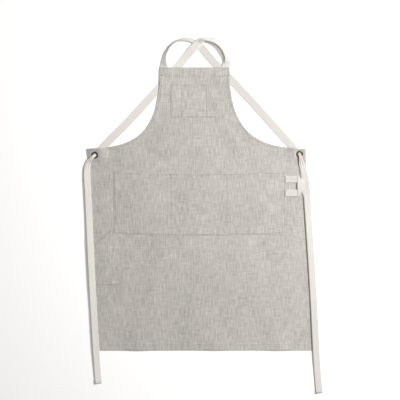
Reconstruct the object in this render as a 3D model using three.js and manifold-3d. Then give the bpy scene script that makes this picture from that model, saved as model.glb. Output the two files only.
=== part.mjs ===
// A cross-back linen apron lying flat, in millimetres, +Z up. The surface that it lies on is Z = 0.
// +Y runs from the hem to the bib, and +X is on the right as the front of the apron is seen from above.
import * as THREE from 'three';
import { mergeVertices } from 'three/addons/utils/BufferGeometryUtils.js';
import Module from 'manifold-3d';

const { clamp, degToRad, lerp, smoothstep } = THREE.MathUtils;

// Cloth and tape.
const LINEN = 1.2; // wall of one layer of linen
const HEM_EXTRA = 0.6; // what a turned edge adds to it
const HEM_STEP = 3; // width of the slope beside a turned edge
const TAPE_WIDTH = 25;
const TAPE = 1.5;
const GAP = 0.35; // clear space between pieces that touch
const POCKET_GAP = 0.95; // the same under a pocket, whose grid differs from the panel's
const JOIN_GAP = 0.3; // the same between two runs of one strap

// Panel outline. It lies leaning a little, so each level has its own middle.
const BIB_TOP = { y: 467.5, middle: -25.3, width: 219 };
const WAIST = { y: 212, middle: -19.8, width: 688 };
const HEM = { y: -423, middle: 4, width: 688.5 };
const ARMHOLE = { bibHandle: 205, sideHandle: 158, sideRise: 3 };
const SIDE_HEM = 6;
const BOTTOM_HEM = 19;
const BIB_FACING = 28;

// Where the panel's grid has its lines: from each side edge, and down from the waist corners.
const EDGE_COLUMNS = [0, 6, 9, 15, 22, 30, 40, 56, 76];
const INNER_COLUMNS = 9;
const ARMHOLE_ROWS = 20;
const FACING_ROWS = [0.047, 0.056]; // armhole curve parameter at the facing's seam and just below it
const WAIST_ROWS = [4, 8, 12, 20, 28, 36, 46, 60, 78];
const SKIRT_ROWS = 12;

// Eyelets in the side corners. Each tips towards the tie that comes out of it.
const EYELET = { inner: 6.3, barrel: 6.9, hole: 7.4, flange: 10.8, front: 1.5, back: 0.9, tilt: 11 };
const SEAT = { height: 4.6, flat: 17, reach: 46 };
const EYELETS = {
  left: { x: -338.4, y: 191.5, outX: -0.7, outY: -0.714 },
  right: { x: 304.4, y: 194.7, outX: 0.47, outY: -0.883 },
};

// Tape that lies under the panel and lifts it: the crossed straps and their sewn ends.
const LYING_TAPE = 2.3;
const SEWN_TAPE = 4.6;
const RIDGES = [
  { x1: -70, y1: 479, x2: -150, y2: 386, height: LYING_TAPE },
  { x1: 46, y1: 474, x2: 98, y2: 420, height: LYING_TAPE },
  { x1: -121.7, y1: 474, x2: -121.7, y2: 440, height: SEWN_TAPE },
  { x1: 73.3, y1: 474, x2: 73.3, y2: 437, height: SEWN_TAPE },
  { x1: -308, y1: 222, x2: -338, y2: 192, height: LYING_TAPE },
  { x1: 272, y1: 228, x2: 304, y2: 195, height: LYING_TAPE },
];
const RIDGE = { shelf: 8, slope: 24 };

// Soft folds in the panel: where each one is highest, which way it runs, and its size.
const FOLDS = [
  { x: -205, y: -423, turn: 86, length: 95, width: 34, height: 3.2 },
  { x: 36, y: -423, turn: 92, length: 80, width: 40, height: 2.4 },
  { x: 236, y: -423, turn: 95, length: 105, width: 36, height: 3.0 },
  { x: -150, y: -210, turn: 82, length: 80, width: 26, height: 2.0 },
  { x: 168, y: -190, turn: 98, length: 90, width: 28, height: 2.2 },
  { x: -122, y: 262, turn: 55, length: 60, width: 22, height: 2.4 },
  { x: 88, y: 258, turn: 122, length: 60, width: 22, height: 2.4 },
];
const FOLD_FLOOR = 0.12; // share of a fold's height that the surface presses flat

// Patch pockets, by the seams that run up them. The side pocket's mouth slants up to its peak.
const CROWN = 2.6; // how far a pocket stands off the panel in the middle of its mouth
const MOUTH_HEM = 9;
const WAIST_POCKET = { seams: [-279.3, -99.7, 75.5, 260.4], top: 138, foot: -55, sag: 6 };
const CHEST_POCKET = { seams: [-101, -66.7, 11.3, 44.5], top: 414, foot: 309.5, sag: 0 };
const SIDE_POCKET = { right: -257, top: -62, foot: -218, inset: 4, peakX: -284, peakY: -47, lowY: -93 };

// Towel loop: the inner and outer edge of the tape along its U, and how high its underside is.
const LOOP_STATIONS = [
  { outerX: 261.6, outerY: 126.7, innerX: 261.6, innerY: 104.7, lift: 1.7 },
  { outerX: 276, outerY: 126.7, innerX: 276, innerY: 104.7, lift: 2.8 },
  { outerX: 290, outerY: 126.7, innerX: 288, innerY: 104.7, lift: 4.7 },
  { outerX: 297.5, outerY: 126.7, innerX: 296.5, innerY: 104.7, lift: 4.9 },
  { outerX: 318.5, outerY: 105.7, innerX: 297.5, innerY: 103.7, lift: 4.9 },
  { outerX: 318.5, outerY: 82, innerX: 297.5, innerY: 84, lift: 4.9 },
  { outerX: 297.5, outerY: 61, innerX: 296.5, innerY: 83, lift: 4.9 },
  { outerX: 290, outerY: 61, innerX: 288, innerY: 83, lift: 4.7 },
  { outerX: 276, outerY: 61, innerX: 276, innerY: 83, lift: 2.8 },
  { outerX: 261.6, outerY: 61, innerX: 261.6, innerY: 83, lift: 1.7 },
];

// Straps, by stations along the tape: its middle as seen from above, the height of its lowest edge, how
// far its left and right side turn down from a fold along it in degrees, where that fold is across the
// tape (-1 to 1), and how far the tape is gathered: 0 is flat, 0.75 folded double, 1 bunched in an eyelet.
const GATHERED = { width: 8.4, thick: 3.4, edge: 0.5 };
const STEPS_PER_STATION = 2;
const LEFT_SHOULDER = [
  { x: -121.7, y: 442, lift: 2.2, left: 0, right: 0, fold: 0, gather: 0 },
  { x: -121.7, y: 470, lift: 2.2, left: 0, right: 0, fold: 0, gather: 0 },
  { x: -121.6, y: 479, lift: 1.4, left: 10, right: -10, fold: 0, gather: 0.3 },
  { x: -121.6, y: 490.5, lift: 0.4, left: 22, right: -22, fold: 0, gather: 0.65 },
  { x: -118, y: 509.5, lift: 0.1, left: 33, right: -33, fold: 0, gather: 0.75 },
  { x: -111.6, y: 522, lift: 0.1, left: 43, right: -43, fold: 0, gather: 0.75 },
  { x: -104.4, y: 533, lift: 0.1, left: 51, right: -51, fold: 0, gather: 0.75 },
  { x: -90, y: 545.5, lift: 0.1, left: 56, right: -56, fold: 0, gather: 0.75 },
  { x: -71.4, y: 553.4, lift: 0.1, left: 56, right: -56, fold: 0, gather: 0.75 },
  { x: -55.7, y: 555.8, lift: 0, left: 36, right: -36, fold: 0, gather: 0.75 },
  { x: -40, y: 553.6, lift: 0, left: 18, right: -18, fold: 0, gather: 0.7 },
  { x: -25, y: 546.8, lift: 0, left: 5, right: -5, fold: 0, gather: 0.4 },
  { x: -8, y: 534, lift: 0, left: 0, right: 0, fold: 0, gather: 0 },
  { x: 10.4, y: 512.6, lift: 0, left: 0, right: 0, fold: 0, gather: 0 },
  { x: 34, y: 485, lift: 0, left: 0, right: 0, fold: 0, gather: 0 },
  { x: 52.8, y: 466, lift: 0, left: 0, right: 0, fold: 0, gather: 0 },
  { x: 119.5, y: 396.3, lift: 0, left: 0, right: 0, fold: 0, gather: 0 },
  { x: 189, y: 320.8, lift: 0, left: 0, right: 0, fold: 0, gather: 0 },
  { x: 256.6, y: 245.3, lift: 0, left: 0, right: 0, fold: 0, gather: 0 },
  { x: 283.4, y: 216.5, lift: 0, left: 0, right: 0, fold: 0, gather: 0.15 },
  { x: 293.2, y: 206, lift: 0, left: 0, right: 0, fold: 0, gather: 0.75 },
  { x: 298.8, y: 200.4, lift: 0, left: 0, right: 0, fold: 0, gather: 1 },
  { x: 304, y: 194.8, lift: 3.8, left: 0, right: 0, fold: 0, gather: 1 },
  { x: 306.6, y: 187, lift: 7.4, left: 0, right: 0, fold: 0, gather: 0.95 },
  { x: 308.2, y: 179, lift: 6.4, left: 0, right: 0, fold: 0, gather: 0.8 },
  { x: 311.9, y: 160.4, lift: 3.6, left: 0, right: 0, fold: 0, gather: 0.35 },
  { x: 317.2, y: 138.4, lift: 2.8, left: 0, right: 0, fold: 0, gather: 0.05 },
  { x: 322.5, y: 107, lift: 2.7, left: 0, right: 0, fold: 0.4, gather: 0 },
  { x: 327.6, y: 50, lift: 2.7, left: 0, right: 0, fold: 0.62, gather: 0 },
  { x: 332, y: -10, lift: 2.7, left: 12, right: 62, fold: 0.62, gather: 0 },
  { x: 340.5, y: -138, lift: 2.7, left: 12, right: 62, fold: 0.62, gather: 0 },
  { x: 348.7, y: -280, lift: 2.7, left: 12, right: 62, fold: 0.62, gather: 0 },
  { x: 355.2, y: -414, lift: 2.7, left: 12, right: 62, fold: 0.62, gather: 0 },
  { x: 357.4, y: -452, lift: 1.6, left: 12, right: 62, fold: 0.62, gather: 0 },
  { x: 360, y: -490, lift: 0.1, left: 12, right: 62, fold: 0.62, gather: 0 },
  { x: 365.4, y: -556, lift: 0.1, left: 12, right: 62, fold: 0.62, gather: 0 },
];
const RIGHT_SHOULDER = [
  { x: 73.3, y: 439, lift: 2.2, left: 0, right: 0, fold: 0, gather: 0 },
  { x: 73.3, y: 468, lift: 2.2, left: 0, right: 0, fold: -0.4, gather: 0 },
  { x: 74.2, y: 477, lift: 2.6, left: 8, right: 4, fold: -0.4, gather: 0 },
  { x: 75.7, y: 489, lift: 4.4, left: 42, right: 12, fold: -0.35, gather: 0 },
  { x: 75.4, y: 499.5, lift: 6.2, left: 52, right: 14, fold: -0.3, gather: 0 },
  { x: 71.2, y: 510.5, lift: 7.8, left: 54, right: 17, fold: -0.26, gather: 0 },
  { x: 65.9, y: 521.8, lift: 9, left: 55, right: 17, fold: -0.28, gather: 0 },
  { x: 58.3, y: 532.5, lift: 9.4, left: 55, right: 16, fold: -0.3, gather: 0 },
  { x: 44.8, y: 544.2, lift: 8.8, left: 55, right: 16, fold: -0.3, gather: 0 },
  { x: 34.2, y: 549.6, lift: 8, left: 56, right: 18, fold: -0.27, gather: 0 },
  { x: 23.9, y: 552.4, lift: 7, left: 62, right: 34, fold: -0.2, gather: 0 },
  { x: 15.2, y: 553.8, lift: 6.2, left: 66, right: 42, fold: -0.15, gather: 0 },
  { x: 6, y: 554.3, lift: 5.4, left: 66, right: 48, fold: -0.1, gather: 0 },
  { x: -4, y: 550.3, lift: 5, left: 36, right: 28, fold: -0.05, gather: 0 },
  { x: -12, y: 543, lift: 5, left: 8, right: 8, fold: 0, gather: 0 },
  { x: -26, y: 530, lift: 5, left: 0, right: 0, fold: 0, gather: 0 },
  { x: -52.5, y: 500.5, lift: 1.2, left: 0, right: 0, fold: 0, gather: 0 },
  { x: -74, y: 474.5, lift: 0, left: 0, right: 0, fold: 0, gather: 0 },
  { x: -102.8, y: 440.3, lift: 0, left: 0, right: 0, fold: 0, gather: 0 },
  { x: -177.1, y: 358.5, lift: 0, left: 0, right: 0, fold: 0, gather: 0 },
  { x: -234.6, y: 295.6, lift: 0, left: 0, right: 0, fold: 0, gather: 0 },
  { x: -297.8, y: 232.7, lift: 0, left: 0, right: 0, fold: 0, gather: 0 },
  { x: -317.4, y: 213, lift: 0, left: 0, right: 0, fold: 0, gather: 0.15 },
  { x: -327.2, y: 202.9, lift: 0, left: 0, right: 0, fold: 0, gather: 0.75 },
  { x: -332.8, y: 197.2, lift: 0, left: 0, right: 0, fold: 0, gather: 1 },
  { x: -338.4, y: 191.5, lift: 3.6, left: 0, right: 0, fold: 0, gather: 1 },
  { x: -344, y: 185.8, lift: 7.3, left: 0, right: 0, fold: 0, gather: 0.95 },
  { x: -349.7, y: 179.9, lift: 6.4, left: 0, right: 0, fold: 0, gather: 0.8 },
  { x: -359, y: 167.3, lift: 3.8, left: 3, right: 10, fold: 0.3, gather: 0.4 },
  { x: -363.8, y: 150, lift: 3, left: 10, right: 48, fold: 0.6, gather: 0.08 },
  { x: -364.2, y: 129, lift: 2.7, left: 12, right: 62, fold: 0.62, gather: 0 },
  { x: -360.7, y: 60, lift: 2.7, left: 12, right: 62, fold: 0.62, gather: 0 },
  { x: -356.1, y: -40, lift: 2.9, left: 12, right: 62, fold: 0.62, gather: 0 },
  { x: -354.1, y: -84, lift: 5.8, left: 12, right: 62, fold: 0.62, gather: 0 },
  { x: -352.7, y: -114, lift: 5.6, left: 12, right: 62, fold: 0.62, gather: 0 },
  { x: -347.1, y: -226, lift: 4.8, left: 12, right: 62, fold: 0.62, gather: 0 },
  { x: -345.1, y: -264, lift: 2.8, left: 12, right: 62, fold: 0.62, gather: 0 },
  { x: -336.3, y: -414, lift: 2.7, left: 12, right: 62, fold: 0.62, gather: 0 },
  { x: -333.9, y: -450, lift: 1.6, left: 12, right: 62, fold: 0.62, gather: 0 },
  { x: -331.7, y: -484, lift: 0.1, left: 12, right: 62, fold: 0.62, gather: 0 },
  { x: -328.1, y: -526, lift: 0.1, left: 12, right: 62, fold: 0.62, gather: 0 },
];

// Each strap is one length of tape in three nodes: the loop over the shoulder, the straight run across
// the back and the tie below the eyelet. A run goes from one of the strap's stations to another.
const STRAPS = [
  {
    stations: LEFT_SHOULDER,
    runs: { strap_left_loop: [0, 13], strap_left_back: [13, 19], tie_right: [19, 35] },
  },
  {
    stations: RIGHT_SHOULDER,
    runs: { strap_right_loop: [0, 16], strap_right_back: [16, 22], tie_left: [22, 40] },
  },
];

const COLOURS = { linen: 0xbfb9b1, tape: 0xe3dcd1, metal: 0x5b4d39 };

const wasm = await Module();
wasm.setup();

function closedGeometry(positions, indices) {
  const geometry = new THREE.BufferGeometry();
  geometry.setAttribute('position', new THREE.Float32BufferAttribute(positions, 3));
  geometry.setIndex(indices);
  return geometry;
}

// A closed sheet over a grid. at(row, column) gives [x, y, underside, thickness]; rows run from the
// far edge to the near one, and columns from left to right.
function sheet(rows, columns, at) {
  const positions = [];
  const indices = [];
  const over = (row, column) => 2 * (row * columns + column);
  const under = (row, column) => over(row, column) + 1;
  const quad = (a, b, c, d) => indices.push(a, b, c, a, c, d);
  for (let row = 0; row < rows; row += 1) {
    for (let column = 0; column < columns; column += 1) {
      const [x, y, low, thick] = at(row, column);
      positions.push(x, y, low + thick, x, y, low);
    }
  }
  for (let row = 0; row < rows - 1; row += 1) {
    const next = row + 1;
    for (let column = 0; column < columns - 1; column += 1) {
      const right = column + 1;
      quad(over(next, column), over(next, right), over(row, right), over(row, column));
      quad(under(row, column), under(row, right), under(next, right), under(next, column));
    }
    const last = columns - 1;
    quad(over(row, 0), under(row, 0), under(next, 0), over(next, 0));
    quad(over(row, last), over(next, last), under(next, last), under(row, last));
  }
  for (let column = 0; column < columns - 1; column += 1) {
    const right = column + 1;
    const last = rows - 1;
    quad(over(0, column), over(0, right), under(0, right), under(0, column));
    quad(over(last, column), under(last, column), under(last, right), over(last, right));
  }
  return closedGeometry(positions, indices);
}

function toSolid(geometry) {
  const plain = geometry.clone();
  plain.deleteAttribute('normal');
  plain.deleteAttribute('uv');
  const merged = mergeVertices(plain, 1e-3);
  return new wasm.Manifold(
    new wasm.Mesh({
      numProp: 3,
      vertProperties: merged.attributes.position.array,
      triVerts: new Uint32Array(merged.index.array),
    }),
  );
}

function fromSolid(solid) {
  const mesh = solid.getMesh();
  return closedGeometry(Array.from(mesh.vertProperties), Array.from(mesh.triVerts));
}

// How much of a ridge's height the panel takes at a point, from the distance to the tape under it.
function ridgeLift(x, y, { x1, y1, x2, y2, height }) {
  const spanX = x2 - x1;
  const spanY = y2 - y1;
  const along = ((x - x1) * spanX + (y - y1) * spanY) / (spanX * spanX + spanY * spanY);
  const nearest = clamp(along, 0, 1);
  const away = Math.hypot(x - x1 - nearest * spanX, y - y1 - nearest * spanY);
  const shelf = TAPE_WIDTH / 2 + RIDGE.shelf;
  return height * (1 - smoothstep(away, shelf, shelf + RIDGE.slope));
}

function foldLift(x, y, { x: midX, y: midY, turn, length, width, height }) {
  const angle = degToRad(turn);
  const along = (x - midX) * Math.cos(angle) + (y - midY) * Math.sin(angle);
  const across = (y - midY) * Math.cos(angle) - (x - midX) * Math.sin(angle);
  const share = Math.exp(-((along / length) ** 2) - (across / width) ** 2);
  return height * Math.max(0, share - FOLD_FLOOR);
}

// Underside of the panel: flat on the surface, raised by folds, by tape under it and by the eyelets.
function panelUnder(x, y) {
  const folds = FOLDS.reduce((sum, fold) => sum + foldLift(x, y, fold), 0);
  let height = RIDGES.reduce((most, ridge) => Math.max(most, ridgeLift(x, y, ridge)), folds);
  for (const { x: seatX, y: seatY, outX, outY } of Object.values(EYELETS)) {
    const outward = (x - seatX) * outX + (y - seatY) * outY;
    const plane = SEAT.height - Math.tan(degToRad(EYELET.tilt)) * outward;
    const share = 1 - smoothstep(Math.hypot(x - seatX, y - seatY), SEAT.flat, SEAT.reach);
    height = lerp(height, Math.max(plane, 0), share);
  }
  return height;
}

const sideX = (level, side) => level.middle + (side * level.width) / 2;

function skirtEdge(side, y) {
  const down = (WAIST.y - y) / (WAIST.y - HEM.y);
  return lerp(sideX(WAIST, side), sideX(HEM, side), down);
}

function armhole(side) {
  const bib = new THREE.Vector2(sideX(BIB_TOP, side), BIB_TOP.y);
  const corner = new THREE.Vector2(sideX(WAIST, side), WAIST.y);
  const bibHandle = new THREE.Vector2(bib.x, bib.y - ARMHOLE.bibHandle);
  const sideHandle = new THREE.Vector2(corner.x - side * ARMHOLE.sideHandle, corner.y + ARMHOLE.sideRise);
  return new THREE.CubicBezierCurve(bib, bibHandle, sideHandle, corner);
}

// Extra thickness of the turned edges, from the distances to the side, bottom and bib edges.
function hemExtra(fromSide, fromBottom, fromTop) {
  const turned = (distance, depth) => 1 - smoothstep(distance, depth, depth + HEM_STEP);
  const side = turned(fromSide, SIDE_HEM);
  const bottom = turned(fromBottom, BOTTOM_HEM);
  const top = turned(fromTop, BIB_FACING);
  return HEM_EXTRA * Math.max(side, bottom, top);
}

function skirtTop(x, y) {
  const fromSide = Math.min(x - skirtEdge(-1, y), skirtEdge(1, y) - x);
  return panelUnder(x, y) + LINEN + hemExtra(fromSide, y - HEM.y, BIB_TOP.y - y);
}

// The left and right end of each row of the panel's grid, from the bib down to the hem.
function panelRows() {
  const curves = [armhole(-1), armhole(1)];
  const evenSteps = Array.from({ length: ARMHOLE_ROWS }, (_, i) => i / ARMHOLE_ROWS);
  const curveSteps = [...evenSteps, ...FACING_ROWS].sort((a, b) => a - b);
  const bibRows = curveSteps.map((step) => curves.map((curve) => curve.getPoint(step)));
  const skirtLength = WAIST.y - HEM.y;
  const lastWaistRow = WAIST_ROWS[WAIST_ROWS.length - 1];
  const lastStep = skirtLength - BOTTOM_HEM - HEM_STEP;
  const evenShares = Array.from({ length: SKIRT_ROWS }, (_, i) => (i + 1) / SKIRT_ROWS);
  const evenDrops = evenShares.map((share) => lerp(lastWaistRow, lastStep, share));
  const drops = [0, ...WAIST_ROWS, ...evenDrops, skirtLength - BOTTOM_HEM, skirtLength];
  const skirtRows = drops.map((drop) => {
    const y = WAIST.y - drop;
    return [-1, 1].map((side) => new THREE.Vector2(skirtEdge(side, y), y));
  });
  return [...bibRows, ...skirtRows];
}

function panelGeometry() {
  const rows = panelRows();
  const edges = EDGE_COLUMNS.length;
  const columns = 2 * edges + INNER_COLUMNS;
  const innerEdge = EDGE_COLUMNS[edges - 1];
  const offset = (column, width) => {
    if (column < edges) return EDGE_COLUMNS[column];
    if (column >= columns - edges) return width - EDGE_COLUMNS[columns - 1 - column];
    return lerp(innerEdge, width - innerEdge, (column - edges + 1) / (INNER_COLUMNS + 1));
  };
  return sheet(rows.length, columns, (row, column) => {
    const [left, right] = rows[row];
    const width = right.x - left.x;
    const fromLeft = offset(column, width);
    const x = left.x + fromLeft;
    const y = lerp(left.y, right.y, fromLeft / width);
    const fromSide = Math.min(fromLeft, width - fromLeft);
    const thick = LINEN + hemExtra(fromSide, y - HEM.y, BIB_TOP.y - y);
    return [x, y, panelUnder(x, y), thick];
  });
}

function eyeletTurn({ outX, outY }) {
  const tilt = degToRad(EYELET.tilt);
  const axis = new THREE.Vector3(outX, outY, 0).normalize().multiplyScalar(Math.sin(tilt));
  axis.z = Math.cos(tilt);
  return new THREE.Quaternion().setFromUnitVectors(new THREE.Vector3(0, 0, 1), axis);
}

const eyeletMiddle = ({ x, y }) => new THREE.Vector3(x, y, SEAT.height + LINEN / 2);

// The round hole that an eyelet is set in, as a plug to cut with.
function eyeletPlug(eyelet) {
  const plug = new THREE.CylinderGeometry(EYELET.hole, EYELET.hole, 24, 28);
  plug.rotateX(Math.PI / 2);
  plug.applyQuaternion(eyeletTurn(eyelet));
  plug.translate(...eyeletMiddle(eyelet).toArray());
  return toSolid(plug);
}

// A set eyelet: a domed front flange, the barrel through the cloth and the washer behind it.
function eyeletGeometry() {
  const cloth = LINEN / 2 + GAP;
  const { inner, barrel, flange, front, back } = EYELET;
  const profile = [
    [inner + 0.2, -cloth - back],
    [flange - 0.4, -cloth - back],
    [flange - 0.4, -cloth],
    [barrel, -cloth],
    [barrel, cloth],
    [flange, cloth],
    [flange - 0.3, cloth + 0.6 * front],
    [flange - 1.6, cloth + front],
    [inner + 1, cloth + front],
    [inner, cloth + 0.5 * front],
    [inner, -cloth - 0.5 * back],
    [inner + 0.2, -cloth - back],
  ];
  const geometry = new THREE.LatheGeometry(profile.map(([r, z]) => new THREE.Vector2(r, z)), 28);
  return geometry.rotateX(Math.PI / 2);
}

// A patch pocket: held down at each seam and at the foot, and standing off the panel at its mouth.
function pocketGeometry(columnsPerSeam, rows, cell) {
  const columns = columnsPerSeam.length;
  return sheet(rows, columns, (row, column) => {
    const up = 1 - row / (rows - 1);
    const { x, y, mouth } = cell(columnsPerSeam[column], up);
    const bulge = CROWN * Math.sin(Math.PI * columnsPerSeam[column].share) * smoothstep(up, 0, 0.9);
    const thick = LINEN + HEM_EXTRA * (1 - smoothstep(mouth - y, MOUTH_HEM, MOUTH_HEM + HEM_STEP));
    return [x, y, skirtTop(x, y) + POCKET_GAP + bulge, thick];
  });
}

// The pocket's grid columns: each compartment between two seams, cut into equal parts.
function seamColumns(seams, parts) {
  const columns = [{ x: seams[0], share: 0 }];
  for (let i = 0; i < seams.length - 1; i += 1) {
    for (let part = 1; part <= parts; part += 1) {
      columns.push({ x: lerp(seams[i], seams[i + 1], part / parts), share: part / parts });
    }
  }
  return columns;
}

function saggingPocket({ seams, top, foot, sag }, parts, rows) {
  const width = seams[seams.length - 1] - seams[0];
  return pocketGeometry(seamColumns(seams, parts), rows, ({ x }, up) => {
    const drop = sag * (1 - (2 * (x - seams[0]) / width - 1) ** 2);
    const mouth = top - drop;
    const y = lerp(foot - drop, mouth, up);
    return { x, y, mouth };
  });
}

// The side pocket follows the panel's leaning left edge, and its mouth slants up to the peak.
function sidePocketGeometry() {
  const { right, top, foot, inset, peakX, peakY, lowY } = SIDE_POCKET;
  const footLeft = skirtEdge(-1, foot) + inset;
  const step = 2.5;
  const places = [0, 0.12, 0.25, 0.45, 0.65, 0.82].map((share) => lerp(footLeft, peakX, share));
  places.push(peakX, peakX + step, lerp(peakX, right, 0.5), right);
  const columns = places.map((x) => ({ x, share: (x - footLeft) / (right - footLeft) }));
  return pocketGeometry(columns, 8, ({ x, share }, up) => {
    const slant = lerp(lowY, peakY, (x - footLeft) / (peakX - footLeft));
    const mouth = x <= peakX ? slant : top;
    const y = lerp(foot, mouth, up);
    const lean = (skirtEdge(-1, y) + inset - footLeft) * (1 - share);
    return { x: x + lean, y, mouth };
  });
}

function loopGeometry() {
  return sheet(LOOP_STATIONS.length, 3, (row, column) => {
    const { outerX, outerY, innerX, innerY, lift } = LOOP_STATIONS[row];
    const out = column / 2;
    return [lerp(innerX, outerX, out), lerp(innerY, outerY, out), lift, TAPE];
  });
}

// The outline of the tape across its width, as [across, up] from left to right and back underneath.
// Each side turns down from the fold, and the outline is centred as seen from above.
function tapeOutline({ left, right, fold, gather }) {
  const halfWidth = lerp(TAPE_WIDTH, GATHERED.width, gather) / 2;
  const halfThick = lerp(TAPE, GATHERED.thick, gather) / 2;
  const leftTurn = degToRad(left);
  const rightTurn = degToRad(right);
  const lean = (leftTurn - rightTurn) / 2;
  const mitre = 1 / Math.cos((leftTurn + rightTurn) / 2);
  const over = [];
  const below = [];
  for (const share of [-1, (fold - 1) / 2, fold, (fold + 1) / 2, 1]) {
    const away = (share - fold) * halfWidth;
    const turn = share < fold ? leftTurn : -rightTurn;
    const facing = share === fold ? lean : turn;
    const round = Math.max(Math.sqrt(1 - share * share), GATHERED.edge);
    const half = halfThick * lerp(1, round, gather) * (share === fold ? mitre : 1);
    const across = away * Math.cos(turn);
    const rise = away * Math.sin(turn);
    over.push([across - half * Math.sin(facing), rise + half * Math.cos(facing)]);
    below.unshift([across + half * Math.sin(facing), rise - half * Math.cos(facing)]);
  }
  const outline = [...over, ...below];
  const places = outline.map(([across]) => across);
  const middle = (Math.min(...places) + Math.max(...places)) / 2;
  return outline.map(([across, rise]) => [across - middle, rise]);
}

// How the tape lies at a place between two stations, counted in stations from the first.
function poseAt(stations, place) {
  const index = Math.min(Math.floor(place), stations.length - 2);
  const share = smoothstep(place - index, 0, 1);
  const between = (key) => lerp(stations[index][key], stations[index + 1][key], share);
  return { left: between('left'), right: between('right'), fold: between('fold'), gather: between('gather') };
}

// The share of one station's step that half of the gap between two runs takes.
function gapShare(a, b) {
  return JOIN_GAP / 2 / Math.hypot(b.x - a.x, b.y - a.y, b.lift - a.lift);
}

// One run of a strap, from its first station to its last: tape swept along the strap's route, each
// section set so that its lowest point is at its lift.
function runGeometry(stations, [first, last]) {
  const steps = stations.length - 1;
  const start = first === 0 ? 0 : first + gapShare(stations[first], stations[first + 1]);
  const end = last === steps ? steps : last - gapShare(stations[last - 1], stations[last]);
  const route = new THREE.CatmullRomCurve3(stations.map(({ x, y, lift }) => new THREE.Vector3(x, y, lift)));
  const sections = (last - first) * STEPS_PER_STATION;
  const positions = [];
  const indices = [];
  let ring = 0;
  for (let i = 0; i <= sections; i += 1) {
    const place = lerp(start, end, i / sections);
    const point = route.getPoint(place / steps);
    const travel = route.getTangent(place / steps);
    const side = new THREE.Vector3(travel.y, -travel.x, 0).normalize();
    const up = new THREE.Vector3().crossVectors(side, travel);
    const offsets = tapeOutline(poseAt(stations, place)).map(([across, rise]) =>
      new THREE.Vector3().addScaledVector(side, across).addScaledVector(up, rise),
    );
    ring = offsets.length;
    const lowest = Math.min(...offsets.map((offset) => offset.z));
    const middle = new THREE.Vector3(point.x, point.y, Math.max(point.z, 0) - lowest);
    offsets.forEach((offset) => positions.push(...offset.add(middle).toArray()));
  }
  for (let i = 0; i < sections; i += 1) {
    for (let k = 0; k < ring; k += 1) {
      const here = i * ring + k;
      const beside = i * ring + ((k + 1) % ring);
      indices.push(here, beside, beside + ring, here, beside + ring, here + ring);
    }
  }
  const tail = sections * ring;
  for (let k = 0; k < ring / 2 - 1; k += 1) {
    const below = ring - 1 - k;
    indices.push(k + 1, k, below, k + 1, below, below - 1);
    indices.push(tail + k, tail + k + 1, tail + below - 1, tail + k, tail + below - 1, tail + below);
  }
  return closedGeometry(positions, indices);
}

function addPiece(group, name, geometry, { color, roughness, metalness = 0 }) {
  const material = new THREE.MeshStandardMaterial({ color, roughness, metalness });
  const mesh = new THREE.Mesh(geometry, material);
  mesh.name = name;
  group.add(mesh);
  return mesh;
}

const linenLook = { color: COLOURS.linen, roughness: 0.95 };
const tapeLook = { color: COLOURS.tape, roughness: 0.9 };
const metalLook = { color: COLOURS.metal, roughness: 0.4, metalness: 1 };

const apron = new THREE.Group();

const plugs = eyeletPlug(EYELETS.left).add(eyeletPlug(EYELETS.right));
addPiece(apron, 'apron_panel', fromSolid(toSolid(panelGeometry()).subtract(plugs)), linenLook);
addPiece(apron, 'waist_pocket', saggingPocket(WAIST_POCKET, 6, 9), linenLook);
addPiece(apron, 'chest_pocket', saggingPocket(CHEST_POCKET, 4, 9), linenLook);
addPiece(apron, 'side_pocket', sidePocketGeometry(), linenLook);
addPiece(apron, 'towel_loop', loopGeometry(), tapeLook);
for (const [side, eyelet] of Object.entries(EYELETS)) {
  const grommet = addPiece(apron, `grommet_${side}`, eyeletGeometry(), metalLook);
  grommet.position.copy(eyeletMiddle(eyelet));
  grommet.quaternion.copy(eyeletTurn(eyelet));
}
for (const { stations, runs } of STRAPS) {
  for (const [name, run] of Object.entries(runs)) {
    addPiece(apron, name, runGeometry(stations, run), tapeLook);
  }
}

// The origin is under the middle of the whole apron, straps included, on the surface.
const bounds = new THREE.Box3().setFromObject(apron);
const middle = bounds.getCenter(new THREE.Vector3());
apron.position.set(-middle.x, -middle.y, -bounds.min.z);

const part = new THREE.Group();
part.add(apron);

export default part;
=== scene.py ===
import math

import bpy
import numpy as np
from mathutils import Matrix, Vector, noise


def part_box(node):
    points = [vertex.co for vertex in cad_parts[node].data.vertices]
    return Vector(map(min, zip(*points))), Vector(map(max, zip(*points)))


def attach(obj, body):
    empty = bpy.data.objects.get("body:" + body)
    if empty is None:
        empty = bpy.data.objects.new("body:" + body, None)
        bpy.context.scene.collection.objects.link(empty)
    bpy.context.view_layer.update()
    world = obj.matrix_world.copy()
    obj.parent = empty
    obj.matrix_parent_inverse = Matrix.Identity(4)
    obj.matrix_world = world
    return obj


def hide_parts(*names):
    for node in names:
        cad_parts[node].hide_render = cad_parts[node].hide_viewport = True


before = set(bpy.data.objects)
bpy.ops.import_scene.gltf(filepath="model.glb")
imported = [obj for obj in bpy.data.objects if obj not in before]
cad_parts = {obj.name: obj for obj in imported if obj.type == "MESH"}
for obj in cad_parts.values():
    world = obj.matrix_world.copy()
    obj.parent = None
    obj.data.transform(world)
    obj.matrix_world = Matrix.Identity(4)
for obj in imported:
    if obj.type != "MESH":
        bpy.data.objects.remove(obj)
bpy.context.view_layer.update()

# Apron panel
# One cut piece of washed grey-beige linen: bib, two curved armholes and a square skirt.
# Its edges are turned under and stitched, and it lies face up over the straps that pass behind it.

MM = 0.001
BODY = "root"

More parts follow.
